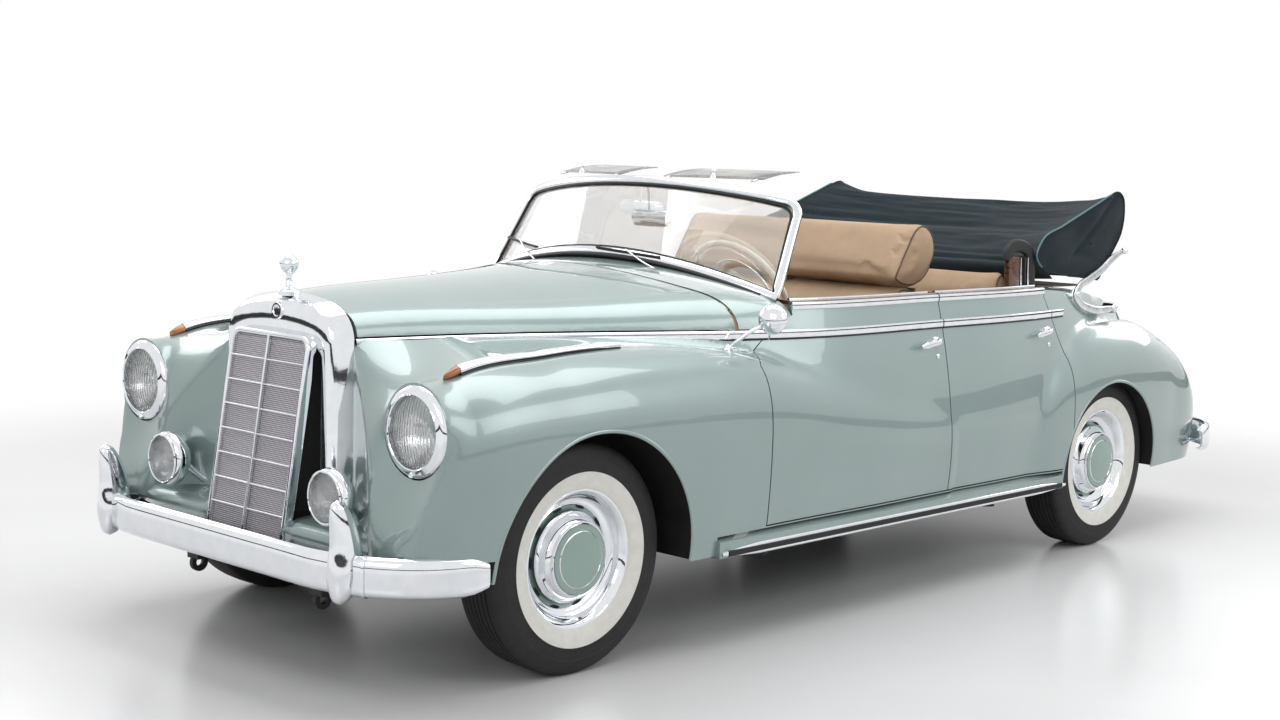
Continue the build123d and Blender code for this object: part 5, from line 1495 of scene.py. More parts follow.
def wing_blade():
    count = 34
    ys = np.linspace(-2.085, -1.430, count)
    for name, finish, slot, lift, section in (
            ("wing_blade", CHROME, "chrome", 0.009, [(0.018 * math.cos(t), 0.019 * math.sin(t) if math.sin(t) > 0 else 0.006 * math.sin(t))
                                                       for t in np.linspace(0, math.tau, 17)[:-1]]),
            ("wing_blade_edge", SEAL, "tyre", 0.0015, [(0.0225 * math.cos(t), 0.006 * math.sin(t)) for t in np.linspace(0, math.tau, 17)[:-1]])):
        path, normals, scale = [], [], []
        for i, y in enumerate(ys):
            t = i / (count - 1)
            at, normal = crest_point(y, 0.712 + 0.018 * t)
            path.append(at + normal * lift)
            normals.append(tuple(normal))
            wide = 1.0 - 0.80 * t ** 1.3
            scale.append((wide, 1.0 - 0.72 * t ** 0.8))
        made = swept(name + "_left", path, section, finish, normals, scale=scale, smooth=50)
        mirror_of(made, name + "_right", BODY)
    # The amber lens closes the blade's head as a rounded, down-turned nose
    verts, rows, columns = [], 9, 14
    for i in range(rows):
        t = i / (rows - 1)
        y = -2.085 - 0.052 * math.sin(t * math.pi / 2)
        at, normal = crest_point(max(y, -2.13), 0.712)
        grow = math.cos(t * math.pi / 2) * 0.98 + 0.02
        for j in range(columns):
            a = math.tau * j / columns
            up = 0.019 * math.sin(a) if math.sin(a) > 0 else 0.008 * math.sin(a)
            verts.append(at + normal * (0.008 + up * (0.45 + 0.55 * grow)) + Vector((0.018 * grow * math.cos(a), 0, -0.006 * t)))
            verts[-1].y = y
    made = piece("wing_lens_left", verts, grid_faces(rows, columns, True) + [tuple(range((rows - 1) * columns, rows * columns))],
                 AMBER, smooth=None)
    outwards(made)
    chosen(made)
    bpy.ops.object.shade_smooth_by_angle(angle=math.radians(60))
    mirror_of(made, "wing_lens_right", BODY)


wing_blade()
print("wing blades made")


# %% [markdown]
# ## Handles, mirrors, wipers and rear lamps
# Small plated castings. A handle is a lever on a round boss; a mirror is a round head on a slanting stalk
# with an oval foot; a wiper is an arm with a thin blade that lies along the glass.

# %% Door handles
def handle(name, y, z, body):
    """A lever that points forwards from a round boss behind it."""
    x = side_x(y, z)
    path = [(x + 0.004, y + 0.012, z + 0.002), (x + 0.026, y + 0.006, z + 0.004), (x + 0.036, y - 0.014, z + 0.003),
            (side_x(y - 0.05, z) + 0.036, y - 0.05, z), (side_x(y - 0.09, z) + 0.034, y - 0.09, z - 0.005),
            (side_x(y - 0.118, z) + 0.030, y - 0.118, z - 0.009)]
    scale = [(1.2, 1.0), (1.1, 1.0), (1.0, 1.0), (0.9, 1.1), (0.85, 1.2), (0.4, 0.5)]
    smooth_path = smoothed(path, 20)
    sizes = [(float(np.interp(i / 19, np.linspace(0, 1, 6), [s[0] for s in scale])),
              float(np.interp(i / 19, np.linspace(0, 1, 6), [s[1] for s in scale]))) for i in range(20)]
    lever = swept(name + "_lever_left", smooth_path, ring_section(0.011, 0.021), CHROME, (0, 0, 1), body + "_left", sizes)
    mirror_of(lever, name + "_lever_right", body + "_right")
    boss = spun(name + "_boss_left", [(-0.004, 0.019), (0.003, 0.019), (0.008, 0.016), (0.012, 0.012), (0.024, 0.011), (0.025, 0.0), (-0.004, 0.0)],
                (x, y + 0.012, z + 0.003), (1, 0, 0.06), CHROME, body + "_left", steps=32)
    mirror_of(boss, name + "_boss_right", body + "_right")
    lock = spun(name + "_lock_left", [(-0.003, 0.009), (0.004, 0.009), (0.006, 0.006), (0.006, 0.0), (-0.003, 0.0)],
                (side_x(y + 0.01, z - 0.052), y + 0.012, z - 0.052), (1, 0, 0.06), CHROME, body + "_left", steps=24)
    mirror_of(lock, name + "_lock_right", body + "_right")


handle("front_handle", 0.118, 0.930, "front_door")
handle("rear_handle", 0.905, 0.930, "rear_door")


# %% Wing mirrors
def wing_mirror():
    at, normal = crest_point(-0.925, 0.742)
    foot = at + normal * 0.001
    head = Vector((0.868, -0.850, 1.060))
    along = Vector((0.1, 1, 0)).normalized()
    across = normal.cross(along).normalized()
    verts, rows, columns = [], 6, 24
    for i, (grow, lift) in enumerate(((1.08, -0.003), (1.08, 0.003), (0.98, 0.007), (0.6, 0.010), (0.3, 0.014), (0.2, 0.02))):
        for j in range(columns):
            a = math.tau * j / columns
            verts.append(foot + normal * lift + along * (0.041 * grow * math.cos(a)) + across * (0.022 * grow * math.sin(a)))
    made = piece("mirror_foot_left", verts, grid_faces(rows, columns, True) + [tuple(range((rows - 1) * columns, rows * columns))],
                 CHROME, smooth=None)
    outwards(made)
    mirror_of(made, "mirror_foot_right", BODY)
    middle = (foot + head) / 2 + Vector((0.0, -0.004, 0.010))
    stalk = swept("mirror_stalk_left", smoothed([foot + normal * 0.006, middle, head + Vector((-0.006, 0.006, -0.012))], 14),
                  ring_section(0.015, 0.015), CHROME, (0, 1, 0), scale=[(1.2 - 0.5 * i / 13,) * 2 for i in range(14)])
    mirror_of(stalk, "mirror_stalk_right", BODY)
    facing = Vector((-0.28, 1, -0.10))
    shell_profile = [(0.000, 0.0485), (0.003, 0.0500), (-0.002, 0.0510), (-0.008, 0.0500), (-0.018, 0.0440), (-0.026, 0.0330), (-0.031, 0.0170), (-0.032, 0.0)]
    made = spun("mirror_head_left", shell_profile + [(-0.003, 0.0), (-0.003, 0.0470)], head, facing, CHROME, steps=56)
    mirror_of(made, "mirror_head_right", BODY)
    made = spun("mirror_glass_left", [(0.0, 0.0), (0.0, 0.0470), (-0.003, 0.0470), (-0.003, 0.0)], head, facing, REFLECTOR, steps=56)
    mirror_of(made, "mirror_glass_right", BODY)


wing_mirror()


# %% Wipers and bonnet catches
def wiper(name, x0, x1):
    """An arm from a cap on the scuttle to the middle of a blade lying on the glass."""
    foot = Vector((x0, -0.835, 1.178 - 0.06 * abs(x0)))
    foot.y = -0.812 + 0.06 * x0 * x0
    pane, normal = screen_point((x0 + x1) / 2 + 0.10 * (1 if x1 > x0 else -1), 1.245)
    spun(name + "_cap", [(-0.012, 0.015), (0.004, 0.015), (0.014, 0.011), (0.018, 0.004), (0.018, 0.0), (-0.012, 0.0)], foot, (0, -0.5, 1),
         CHROME, steps=24)
    tip = pane - normal * 0.0 + Vector((0, -0.030, 0.004))
    swept(name + "_arm", smoothed([foot + Vector((0, -0.004, 0.012)), (foot + tip) / 2 + Vector((0, -0.016, 0.004)), tip], 12),
          ring_section(0.008, 0.006), CHROME, (0, 0, 1))
    ends = []
    for t in (-0.5, -0.25, 0, 0.25, 0.5):
        x = tip.x + 0.30 * t * (1 if x1 > x0 else -1)
        point, out = screen_point(x, tip.z - 0.010 + 0.02 * t)
        ends.append(point + Vector((0, -0.022, 0)))
    swept(name + "_blade", smoothed(ends, 14), rounded(0.008, 0.014, 0.003), SEAL, (0, -1, 0))


wiper("wiper_left", 0.36, 0.10)
wiper("wiper_right", -0.30, -0.56)

# %% Rear lamps and number plate places
for side, s in (("left", 1), ("right", -1)):
    centre = (s * 0.690, 2.280, 0.620)
    spun("rear_lamp_rim_" + side, [(-0.11, 0.046), (-0.02, 0.050), (-0.004, 0.052), (0.004, 0.049), (0.006, 0.043), (-0.01, 0.040), (-0.11, 0.040)],
         centre, (s * 0.12, 1, 0.05), CHROME, steps=48)
    spun("rear_lamp_glass_" + side, [(0.020 - 0.016 * (r / 0.042) ** 2, r) for r in np.linspace(0, 0.042, 8)] + [(-0.01, 0.042), (-0.01, 0.0)],
         centre, (s * 0.12, 1, 0.05), RED, steps=48)
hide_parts("rear_lamps")
print("handles, mirrors, wipers and rear lamps made")

# %% [markdown]
# ## Seats
# Each seat is a sprung bench under hide: a cushion, a lower back and a thick roll along the top, whose ends
# are closed by piped panels. A pad is drawn as a smooth outline carried across the car and crowned at its
# ends. A cloth simulation then blows it up a little, so that the hide lies full, as over horsehair. Piping
# is laid on afterwards, because the simulation's even mesh would swallow so fine a cord.


# %% Padded pieces
def closed_curve(points, count):
    """A smooth closed curve through the points."""
    pts = np.array(points, float)
    found = []
    for s in np.arange(count) * len(pts) / count:
        i, u = int(s), s % 1
        a, b, c, d = (pts[(i + k - 1) % len(pts)] for k in range(4))
        found.append(0.5 * (2 * b + (c - a) * u + (2 * a - 5 * b + 4 * c - d) * u ** 2
                            + (3 * b - a - 3 * c + d) * u ** 3))
    return np.array(found)


def stuffed(made, voxel, cap):
    """Blows a pad up by cloth simulation. No point moves further than cap."""
    applied(made, "REMESH", mode="VOXEL", voxel_size=voxel)
    mesh = made.data
    start = np.empty(len(mesh.vertices) * 3)
    mesh.vertices.foreach_get("co", start)
    cloth = made.modifiers.new("Cloth", "CLOTH").settings
    cloth.use_pressure = True
    cloth.uniform_pressure_force = 4.0
    cloth.effector_weights.gravity = 0
    for frame in range(1, 21):
        bpy.context.scene.frame_set(frame)
    grown = made.evaluated_get(bpy.context.evaluated_depsgraph_get()).data
    end = np.empty(len(mesh.vertices) * 3)
    grown.vertices.foreach_get("co", end)
    made.modifiers.clear()
    move = (end - start).reshape(-1, 3)
    length = np.maximum(np.linalg.norm(move, axis=1, keepdims=True), 1e-9)
    mesh.vertices.foreach_set("co", start + (move * np.minimum(1, cap / length)).ravel())
    mesh.update()
    bpy.context.scene.frame_set(1)
    applied(made, "SUBSURF", levels=1, render_levels=1)


def pad(name, outline, half, voxel=0.008, cap=0.012, split=None):
    """A stuffed roll or cushion across the car, from its outline in (y, z) and its half width."""
    loop = closed_curve(outline, 60)
    middle = loop.mean(axis=0)
    rows = []
    for x in np.linspace(-half + 0.03, half - 0.03, 61):
        waist = 0 if split is None else 0.035 * math.exp(-((x - split) / 0.014) ** 2)
        rows.append((x, 1.0 + 0.012 * math.cos(math.pi * x / (2 * half)) - waist))
    tip = [(half - 0.03 + 0.03 * math.sin(t), 1 - 0.10 * (1 - math.cos(t))) for t in np.linspace(0.3, 1.57, 5)]
    tip += [(half + 0.012 * (1 - (s / 0.9) ** 2), s) for s in (0.8, 0.6, 0.4, 0.2, 0.03)]
    rows = [(-x, s) for x, s in tip[::-1]] + rows + tip
    verts = [(x, *(middle + (p - middle) * s)) for x, s in rows for p in loop]
    faces = grid_faces(len(rows), len(loop), True)
    faces += [tuple(range(len(loop)))[::-1], tuple(range(len(verts) - len(loop), len(verts)))]
    made = piece(name, verts, faces, LEATHER, BODY, None)
    outwards(made)
    stuffed(made, voxel, cap)
    chosen(made)
    bpy.ops.object.shade_smooth_by_angle(angle=math.radians(60))
    return made, loop


def piped(name, on, path, finish=None, thick=0.0065, closed=True):
    """A cord of piping laid on the surface of a pad along a path."""
    laid = []
    for p in path:
        hit, place, normal, _ = on.closest_point_on_mesh(Vector(p))
        laid.append(place + normal * 0.0012)
    if closed:
        laid = [*laid, laid[0], laid[1]]
    return swept(name, laid, ring_section(thick, thick, 8), finish or PIPING, (1, 0, 0.01), smooth=60)


# Outlines in (y, z), forwards side first
UPPER_ROLL = ((0.222, 1.146), (0.252, 1.204), (0.292, 1.268), (0.330, 1.322), (0.378, 1.354), (0.430, 1.344),
              (0.468, 1.303), (0.476, 1.250), (0.456, 1.196), (0.416, 1.148), (0.362, 1.118), (0.296, 1.112),
              (0.244, 1.124))
LOWER_BACK = ((0.172, 0.812), (0.192, 0.900), (0.215, 0.990), (0.238, 1.062), (0.272, 1.108), (0.330, 1.112),
              (0.376, 1.080), (0.392, 1.000), (0.390, 0.880), (0.380, 0.750), (0.330, 0.706), (0.250, 0.710),
              (0.190, 0.748))
FRONT_CUSHION = ((-0.212, 0.640), (-0.220, 0.702), (-0.204, 0.764), (-0.150, 0.796), (-0.030, 0.802), (0.080, 0.790),
                 (0.158, 0.770), (0.172, 0.706), (0.166, 0.630), (0.060, 0.610), (-0.080, 0.608), (-0.180, 0.614))
REAR_BACK = ((0.980, 0.790), (0.984, 0.880), (0.992, 0.980), (1.002, 1.072), (1.026, 1.132), (1.060, 1.146),
             (1.088, 1.112), (1.096, 1.020), (1.098, 0.880), (1.092, 0.770), (1.040, 0.742), (0.996, 0.752))
REAR_CUSHION = ((0.684, 0.620), (0.678, 0.690), (0.694, 0.756), (0.740, 0.784), (0.840, 0.788), (0.930, 0.772),
                (0.970, 0.740), (0.975, 0.680), (0.968, 0.616), (0.880, 0.602), (0.760, 0.602))

for name, outline, half, voxel, split in (
        ("front_seat_roll", UPPER_ROLL, 0.586, 0.0085, -0.12), ("front_seat_back", LOWER_BACK, 0.578, 0.0110, 0.0),
        ("front_seat_cushion", FRONT_CUSHION, 0.572, 0.0110, 0.0), ("rear_seat_back", REAR_BACK, 0.535, 0.0110, 0.0),
        ("rear_seat_cushion", REAR_CUSHION, 0.545, 0.0110, 0.0)):
    made, loop = pad(name, outline, half, voxel, split=split)
    for side, s in (("left", 1), ("right", -1)):
        middle = loop.mean(axis=0)
        rim = [(s * (half - 0.004), *(middle + (p - middle) * 0.93)) for p in loop]
        piped(f"{name}_piping_{side}", made, rim)
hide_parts("front_seat")
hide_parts("rear_seat")

# %% [markdown]
# Under each cushion stands a carpeted plinth, and the front back has a flat hide panel behind it,
# which the passengers in the rear look at.

# %% Seat plinths and back panel
for name, y0, y1, half in (("front", -0.170, 0.150, 0.545), ("rear", 0.730, 0.955, 0.520)):
    for side, s in (("left", 1), ("right", -1)):
        pressed_panel(f"{name}_plinth_side_{side}", [(s * half, y0, 0.352), (s * half, y1, 0.352), (s * half, y1, 0.615),
                                                     (s * half, y0, 0.615)], 0.003, CARPET, swage=0.012)
        pressed_panel(f"{name}_plinth_front_{side}", [(s * 0.125, y0, 0.352), (s * half, y0, 0.352), (s * half, y0, 0.615),
                                                      (s * 0.125, y0, 0.615)], 0.003, CARPET, swage=0.012)
shell = [(0.388, 0.40), (0.397, 0.72), (0.400, 0.90), (0.399, 1.02), (0.402, 1.10)]
verts = [(x, y + 0.006 * math.cos(math.pi * x / 1.1), z) for y, z in smoothed(shell, 16) for x in np.linspace(-0.55, 0.55, 23)]
back_panel = piece("front_seat_back_panel", verts, grid_faces(16, 23), LEATHER)
applied(back_panel, "SOLIDIFY", thickness=0.006, offset=0)
finished(back_panel, BODY, 40)
made_pieces.pop()
print("plinths made")

# %% [markdown]
# ## Folded roof
# The roof is one long cloth over bows. Folded down it lies in a deep roll behind the rear seat: the cloth
# comes up from the body in front, runs back over the bows, turns down at the tail and goes under. Its
# corners stand higher than its middle, where it sags between the bows, and it creases along its length. It
# is drawn as one sheet whose run changes smoothly from the middle to the sides, with the creases pushed in.

# %% The roof's cloth
HOOD_HALF = 0.748
# The run of the cloth in (y, z): in the middle of the car, and at its sides
HOOD_MIDDLE = ((1.124, 1.100), (1.112, 1.158), (1.168, 1.196), (1.290, 1.246), (1.430, 1.302), (1.560, 1.360),
               (1.660, 1.412), (1.712, 1.430), (1.742, 1.405), (1.742, 1.340), (1.705, 1.252), (1.610, 1.190),
               (1.500, 1.146), (1.360, 1.118))
HOOD_SIDE = ((1.075, 1.130), (0.950, 1.236), (0.985, 1.286), (1.140, 1.346), (1.285, 1.396), (1.420, 1.442),
             (1.530, 1.478), (1.582, 1.488), (1.626, 1.462), (1.640, 1.405), (1.622, 1.312), (1.562, 1.236),
             (1.505, 1.178), (1.450, 1.112))
HOOD_ROWS, HOOD_COLUMNS = 130, 91
mid_run, side_run = (np.array(smoothed(p, HOOD_ROWS)) for p in (HOOD_MIDDLE, HOOD_SIDE))


def hood_point(row, x):
    """The cloth at a share of its run and at x, creased."""
    share = row / (HOOD_ROWS - 1)
    i = min(int(row), HOOD_ROWS - 2)
    towards = (abs(x) / HOOD_HALF) ** 2.4
    here = mid_run[i] * (1 - towards) + side_run[i] * towards
    along = (mid_run[i + 1] - mid_run[i]) * (1 - towards) + (side_run[i + 1] - side_run[i]) * towards
    normal = np.array((-along[1], along[0])) / max(np.linalg.norm(along), 1e-9)
    quiet = max(0.0, 1 - (abs(x) / HOOD_HALF) ** 8)
    crease = 0.012 * noise_at((x * 1.6 + 4, share * 15 + 0.5 * x, 1.5)) + 0.005 * noise_at((x * 5, share * 42 + x, 7.1))
    for place, slant, deep, wide in ((0.085, 0.012, 0.016, 0.012), (0.165, -0.030, 0.012, 0.014),
                                     (0.30, 0.045, 0.009, 0.02), (0.70, 0.02, 0.014, 0.02), (0.84, -0.03, 0.012, 0.02)):
        crease -= deep * math.exp(-((share - place - slant * math.sin(2.2 * x + 6 * place)) / wide) ** 2)
    return (x, *(here + normal * crease * quiet))


def noise_at(place):
    return mathutils.noise.noise(Vector(place))


columns = np.sin(np.linspace(-math.pi / 2, math.pi / 2, HOOD_COLUMNS) * 0.92) / math.sin(math.pi / 2 * 0.92) * HOOD_HALF
verts = [hood_point(i, float(x)) for i in range(HOOD_ROWS) for x in columns]
hood = piece("hood_cloth", verts, grid_faces(HOOD_ROWS, HOOD_COLUMNS), HOOD_CLOTH)
outwards(hood)
applied(hood, "SOLIDIFY", thickness=0.0035, offset=-1)
finished(hood, BODY, 60)
made_pieces.pop()
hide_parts("folded_hood")


def hood_side():
    """The quarter cloth that closes the roll at the side, bulged and creased."""
    rim = side_run[4:]
    centre = np.array((1.36, 1.27))
    verts = []
    for share in np.linspace(1, 0.02, 26):
        for i, p in enumerate(rim):
            y, z = centre + (p - centre) * share
            bulge = 0.010 * (1 - share ** 2) + 0.010 * noise_at((y * 6, z * 9 - y * 4, 3.3)) * (1 - share ** 6)
            fold = 0.007 * math.exp(-(((z - 1.16) - 0.75 * (y - 1.15)) / 0.018) ** 2) * (1 - share ** 4)
            verts.append((HOOD_HALF - 0.004 + bulge - fold, y, z))
    made = piece("hood_side_left", verts, grid_faces(26, len(rim), True), HOOD_CLOTH)
    outwards(made)
    applied(made, "SOLIDIFY", thickness=0.003, offset=-1)
    return finished(made, BODY, 60)


side_left = hood_side()
made_pieces.pop()
side_right = mirror_of(side_left, "hood_side_right", BODY)
edge = [(HOOD_HALF + 0.001, y, z) for y, z in side_run[8:78]]
hood_edges = []
for name, path in (("hood_piping", edge),):
    cord = swept(name + "_left", path, ring_section(0.008, 0.008, 8), HOOD_PIPING, (1, 0, 0.01), smooth=60)
    hood_edges += [cord, mirror_of(cord, name + "_right", BODY)]
run_length = float(np.linalg.norm(np.diff(mid_run, axis=0), axis=1).sum())
print("hood run", round(run_length, 3))

# %% [markdown]
# ### Roof irons
# Outside the cloth, an S-shaped iron on each side carries the bows. It is a flat plated bar with a ball at
# its upper end and a broad foot at its pivot. It is swept along its curve, and the ball and foot are turned.

# %% Irons
iron_line = smoothed([(0.764, 1.610, 1.236), (0.764, 1.530, 1.206), (0.764, 1.440, 1.158), (0.764, 1.340, 1.120),
                      (0.766, 1.268, 1.094), (0.768, 1.238, 1.062), (0.768, 1.266, 1.030), (0.766, 1.350, 0.999),
                      (0.764, 1.450, 0.986), (0.762, 1.560, 0.992)], 60)
iron = swept("hood_iron_left", iron_line, rounded(0.034, 0.012, 0.0055), SATIN, (1, 0, 0), smooth=50,
             scale=[(0.55 + 0.45 * min(1, i / 8, (59 - i) / 5), 1) for i in range(60)])
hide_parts("hood_irons")
mirror_of(iron, "hood_iron_right", BODY)
ball = spun("hood_iron_ball_left", [(-0.014, 0), (-0.013, 0.008), (-0.006, 0.014), (0.002, 0.016), (0.010, 0.012), (0.015, 0.005),
                                    (0.016, 0)], (0.772, 1.612, 1.238), (1, 0, 0), CHROME, steps=32)
mirror_of(ball, "hood_iron_ball_right", BODY)
foot = spun("hood_iron_foot_left", [(-0.045, 0.024), (-0.02, 0.024), (-0.004, 0.022), (0.006, 0.018), (0.011, 0.010), (0.012, 0)],
            (0.764, 1.566, 0.992), (1, 0, 0), CHROME, steps=40)
mirror_of(foot, "hood_iron_foot_right", BODY)
elbow = spun("hood_iron_pivot_left", [(-0.012, 0.014), (0.004, 0.014), (0.010, 0.010), (0.012, 0.004), (0.012, 0)],
             (0.768, 1.246, 1.062), (1, 0, 0), CHROME, steps=32)
mirror_of(elbow, "hood_iron_pivot_right", BODY)
print("roof and irons made")

# %% [markdown]
# ## Cabin
# The dashboard is one broad veneered board with a rounded lower edge. Its section is swept across the car,
# and the instruments are turned pieces set into it: a plated bezel, an enamelled face and a bright boss.

# %% Dashboard and instruments
DASH_FACE_Y, DASH_HALF = -0.700, 0.618
section = closed_curve([(-0.076, 0.992), (-0.030, 0.996), (-0.008, 0.985), (0.000, 0.950), (0.002, 0.900), (-0.006, 0.862),
                        (-0.024, 0.846), (-0.048, 0.850), (-0.056, 0.880), (-0.070, 0.940)], 40)
verts = [(x, DASH_FACE_Y + y - 0.03 * (x / DASH_HALF) ** 4, z) for x in np.linspace(-DASH_HALF, DASH_HALF, 41) for y, z in section]
n = len(section)
dash = piece("dash_board", verts, grid_faces(41, n, True) + [tuple(range(n))[::-1], tuple(range(40 * n, 41 * n))], WALNUT,
             smooth=None)
outwards(dash)
finished(dash, BODY, 50)
made_pieces.pop()
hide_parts("dashboard")
for name, x, z, radius in (("speed_dial", 0.265, 0.925, 0.050), ("clock_dial", 0.455, 0.925, 0.050),
                           ("oil_dial", 0.360, 0.948, 0.024), ("fuel_dial", 0.360, 0.893, 0.024)):
    y = DASH_FACE_Y + 0.0015
    spun(name + "_bezel", [(-0.012, radius), (0.004, radius + 0.001), (0.008, radius - 0.003), (0.006, radius - 0.007),
                           (-0.001, radius - 0.008), (-0.012, radius - 0.008)], (x, y, z), (0, 1, 0), CHROME,
         steps=48)
    spun(name + "_face", [(0.0005, 0.0), (0.0005, radius - 0.0085), (-0.006, radius - 0.0085)], (x, y, z), (0, 1, 0), GAUGE,
         steps=48)
    for i in range(12):
        turn = math.tau * i / 12
        across, up = math.cos(turn), math.sin(turn)
        inner, outer = radius * 0.62, radius * 0.78
        swept(f"{name}_mark_{i + 1}", [(x + across * inner, y + 0.001, z + up * inner), (x + across * outer, y + 0.001, z + up * outer)],
              rounded(0.0016, 0.0012, 0.0003, 1), SEAL, (0, 1, 0))
    swept(name + "_hand", [(x - 0.006, y + 0.002, z - 0.005), (x + radius * 0.45, y + 0.002, z + radius * 0.5)],
          rounded(0.002, 0.0012, 0.0003, 1), PIPING, (0, 1, 0))
for i, x in enumerate((-0.12, -0.04, 0.04, 0.12)):
    spun(f"dash_knob_{i + 1}", [(-0.004, 0.004), (0.010, 0.004), (0.013, 0.011), (0.020, 0.012), (0.024, 0.008), (0.025, 0.0)],
         (x, DASH_FACE_Y, 0.888), (0, 1, 0), IVORY, steps=24)
pressed_panel("radio_panel", [(-0.105, -0.6975, 0.914), (0.105, -0.6975, 0.914), (0.105, -0.6985, 0.972), (-0.105, -0.6985, 0.972)],
              -0.003, IVORY, swage=0.006)
pressed_panel("glove_box_lid", [(-0.545, -0.6985, 0.868), (-0.185, -0.6985, 0.868), (-0.185, -0.7005, 0.968), (-0.545, -0.7005, 0.968)],
              -0.003, WALNUT, swage=0.010)
spun("glove_box_knob", [(-0.004, 0.004), (0.008, 0.004), (0.011, 0.009), (0.017, 0.008), (0.019, 0.0)], (-0.205, -0.699, 0.918), (0, 1, 0),
     CHROME, steps=24)
print("dashboard made")

# %% [markdown]
# ### Steering wheel
# The wheel has a thin ivory rim, two flat spokes and a bright horn ring inside it. Rim and hub are turned
# about the column's own axis, so that they run true when the wheel turns.

# %% Steering wheel
WHEEL_CENTRE, COLUMN = Vector((0.360, -0.428, 1.094)), Vector((0, 0.8660, 0.5))
wheel_across, wheel_up = Vector((1, 0, 0)), Vector((0, -0.5, 0.8660))


def hoop(radius, thick, out=0.0):
    return [(out + thick * math.sin(t), radius + thick * math.cos(t)) for t in np.linspace(0, math.tau, 15)]


rim = spun("steering_rim", hoop(0.2145, 0.0112), WHEEL_CENTRE, COLUMN, IVORY, "steering_wheel", 96)
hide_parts("steering_wheel")
spun("horn_ring", hoop(0.135, 0.0038, 0.012), WHEEL_CENTRE, COLUMN, CHROME, "steering_wheel", 72)
spun("steering_hub", [(-0.055, 0.0), (-0.055, 0.024), (-0.030, 0.034), (-0.012, 0.044), (0.002, 0.044), (0.009, 0.036),
                      (0.013, 0.030), (0.017, 0.016), (0.018, 0.0)], WHEEL_CENTRE, COLUMN, IVORY, "steering_wheel", 64)
spun("horn_boss", [(0.012, 0.024), (0.018, 0.023), (0.021, 0.014), (0.022, 0.0)], WHEEL_CENTRE, COLUMN, CHROME,
     "steering_wheel", 48)
for i, turn in enumerate((-14, 194)):
    way = wheel_across * math.cos(math.radians(turn)) + wheel_up * math.sin(math.radians(turn))
    path = [WHEEL_CENTRE + way * r + COLUMN * out for r, out in ((0.03, 0.0), (0.08, 0.008), (0.135, 0.008), (0.18, 0.003), (0.212, -0.002))]
    swept(f"steering_spoke_{i + 1}", path, rounded(0.022, 0.008, 0.0035), IVORY, tuple(COLUMN), "steering_wheel",
          scale=[(1.4, 1), (1.0, 1), (0.85, 1), (0.75, 1), (0.9, 1)])
    swept(f"horn_stay_{i + 1}", [WHEEL_CENTRE + way * 0.03 + COLUMN * 0.014, WHEEL_CENTRE + way * 0.133 + COLUMN * 0.013],
          rounded(0.008, 0.004, 0.0015), CHROME, tuple(COLUMN), "steering_wheel")
swept("gear_lever", [(0.365, -0.515, 1.035), (0.455, -0.520, 1.060), (0.520, -0.515, 1.082)], ring_section(0.010, 0.010), CHROME,
      (0, 0, 1))
spun("gear_lever_knob", [(-0.014, 0.0), (-0.012, 0.009), (-0.002, 0.014), (0.008, 0.011), (0.013, 0.0)], (0.528, -0.515, 1.085),
     (0.9, 0, 0.3), IVORY, steps=24)
print("steering wheel made")

# %% [markdown]
# ### Door cards and carpets
# Each door is lined with a hide-covered card that follows the door's curve, with an armrest, a map pocket
# and a plated window winder. The card's points are read from the skin, moved in by the door's depth.


# %% Door cards
def lined(name, y0, y1, low, high, body, depth=0.050, inset=0.088):
    """A hide card inside the skin between two heights that may change along the car."""
    rows = []
    for y in np.linspace(y0, y1, 22):
        z0, z1 = low(y), high(y)
        rows.append([(side_x(y, z) - inset, y, z) for z in np.linspace(z0, z1, 22)])
    verts = [p for row in rows for p in row]
    made = piece(name + "_left", verts, grid_faces(22, 22), LEATHER, body + ("_left" if body != BODY else ""), None)
    if made.data.polygons[200].normal.x > 0:
        made.data.flip_normals()
    applied(made, "SOLIDIFY", thickness=depth, offset=-1)
    chosen(made)
    bpy.ops.object.shade_smooth_by_angle(angle=math.radians(40))
    mirror_of(made, name + "_right", body + ("_right" if body != BODY else ""))
    return made


def trimmed(name, path, section, finish, side, body):
    """A swept trim piece on the left and its mirror image on the right."""
    left_body, right_body = (body + "_left", body + "_right") if body != BODY else (BODY, BODY)
    made = swept(name + "_left", path, section, finish, side, left_body)
    mirror_of(made, name + "_right", right_body)


def front_card_top(y):
    return float(np.interp(y, (-0.853, -0.713, -0.618, -0.560), (0.905, 1.013, 1.059, 1.084)))


def rear_card_low(y):
    return 0.405 if y < 0.971 else max(0.405, 0.345 + math.sqrt(max(0.392 ** 2 - (y - 1.355) ** 2, 0)))


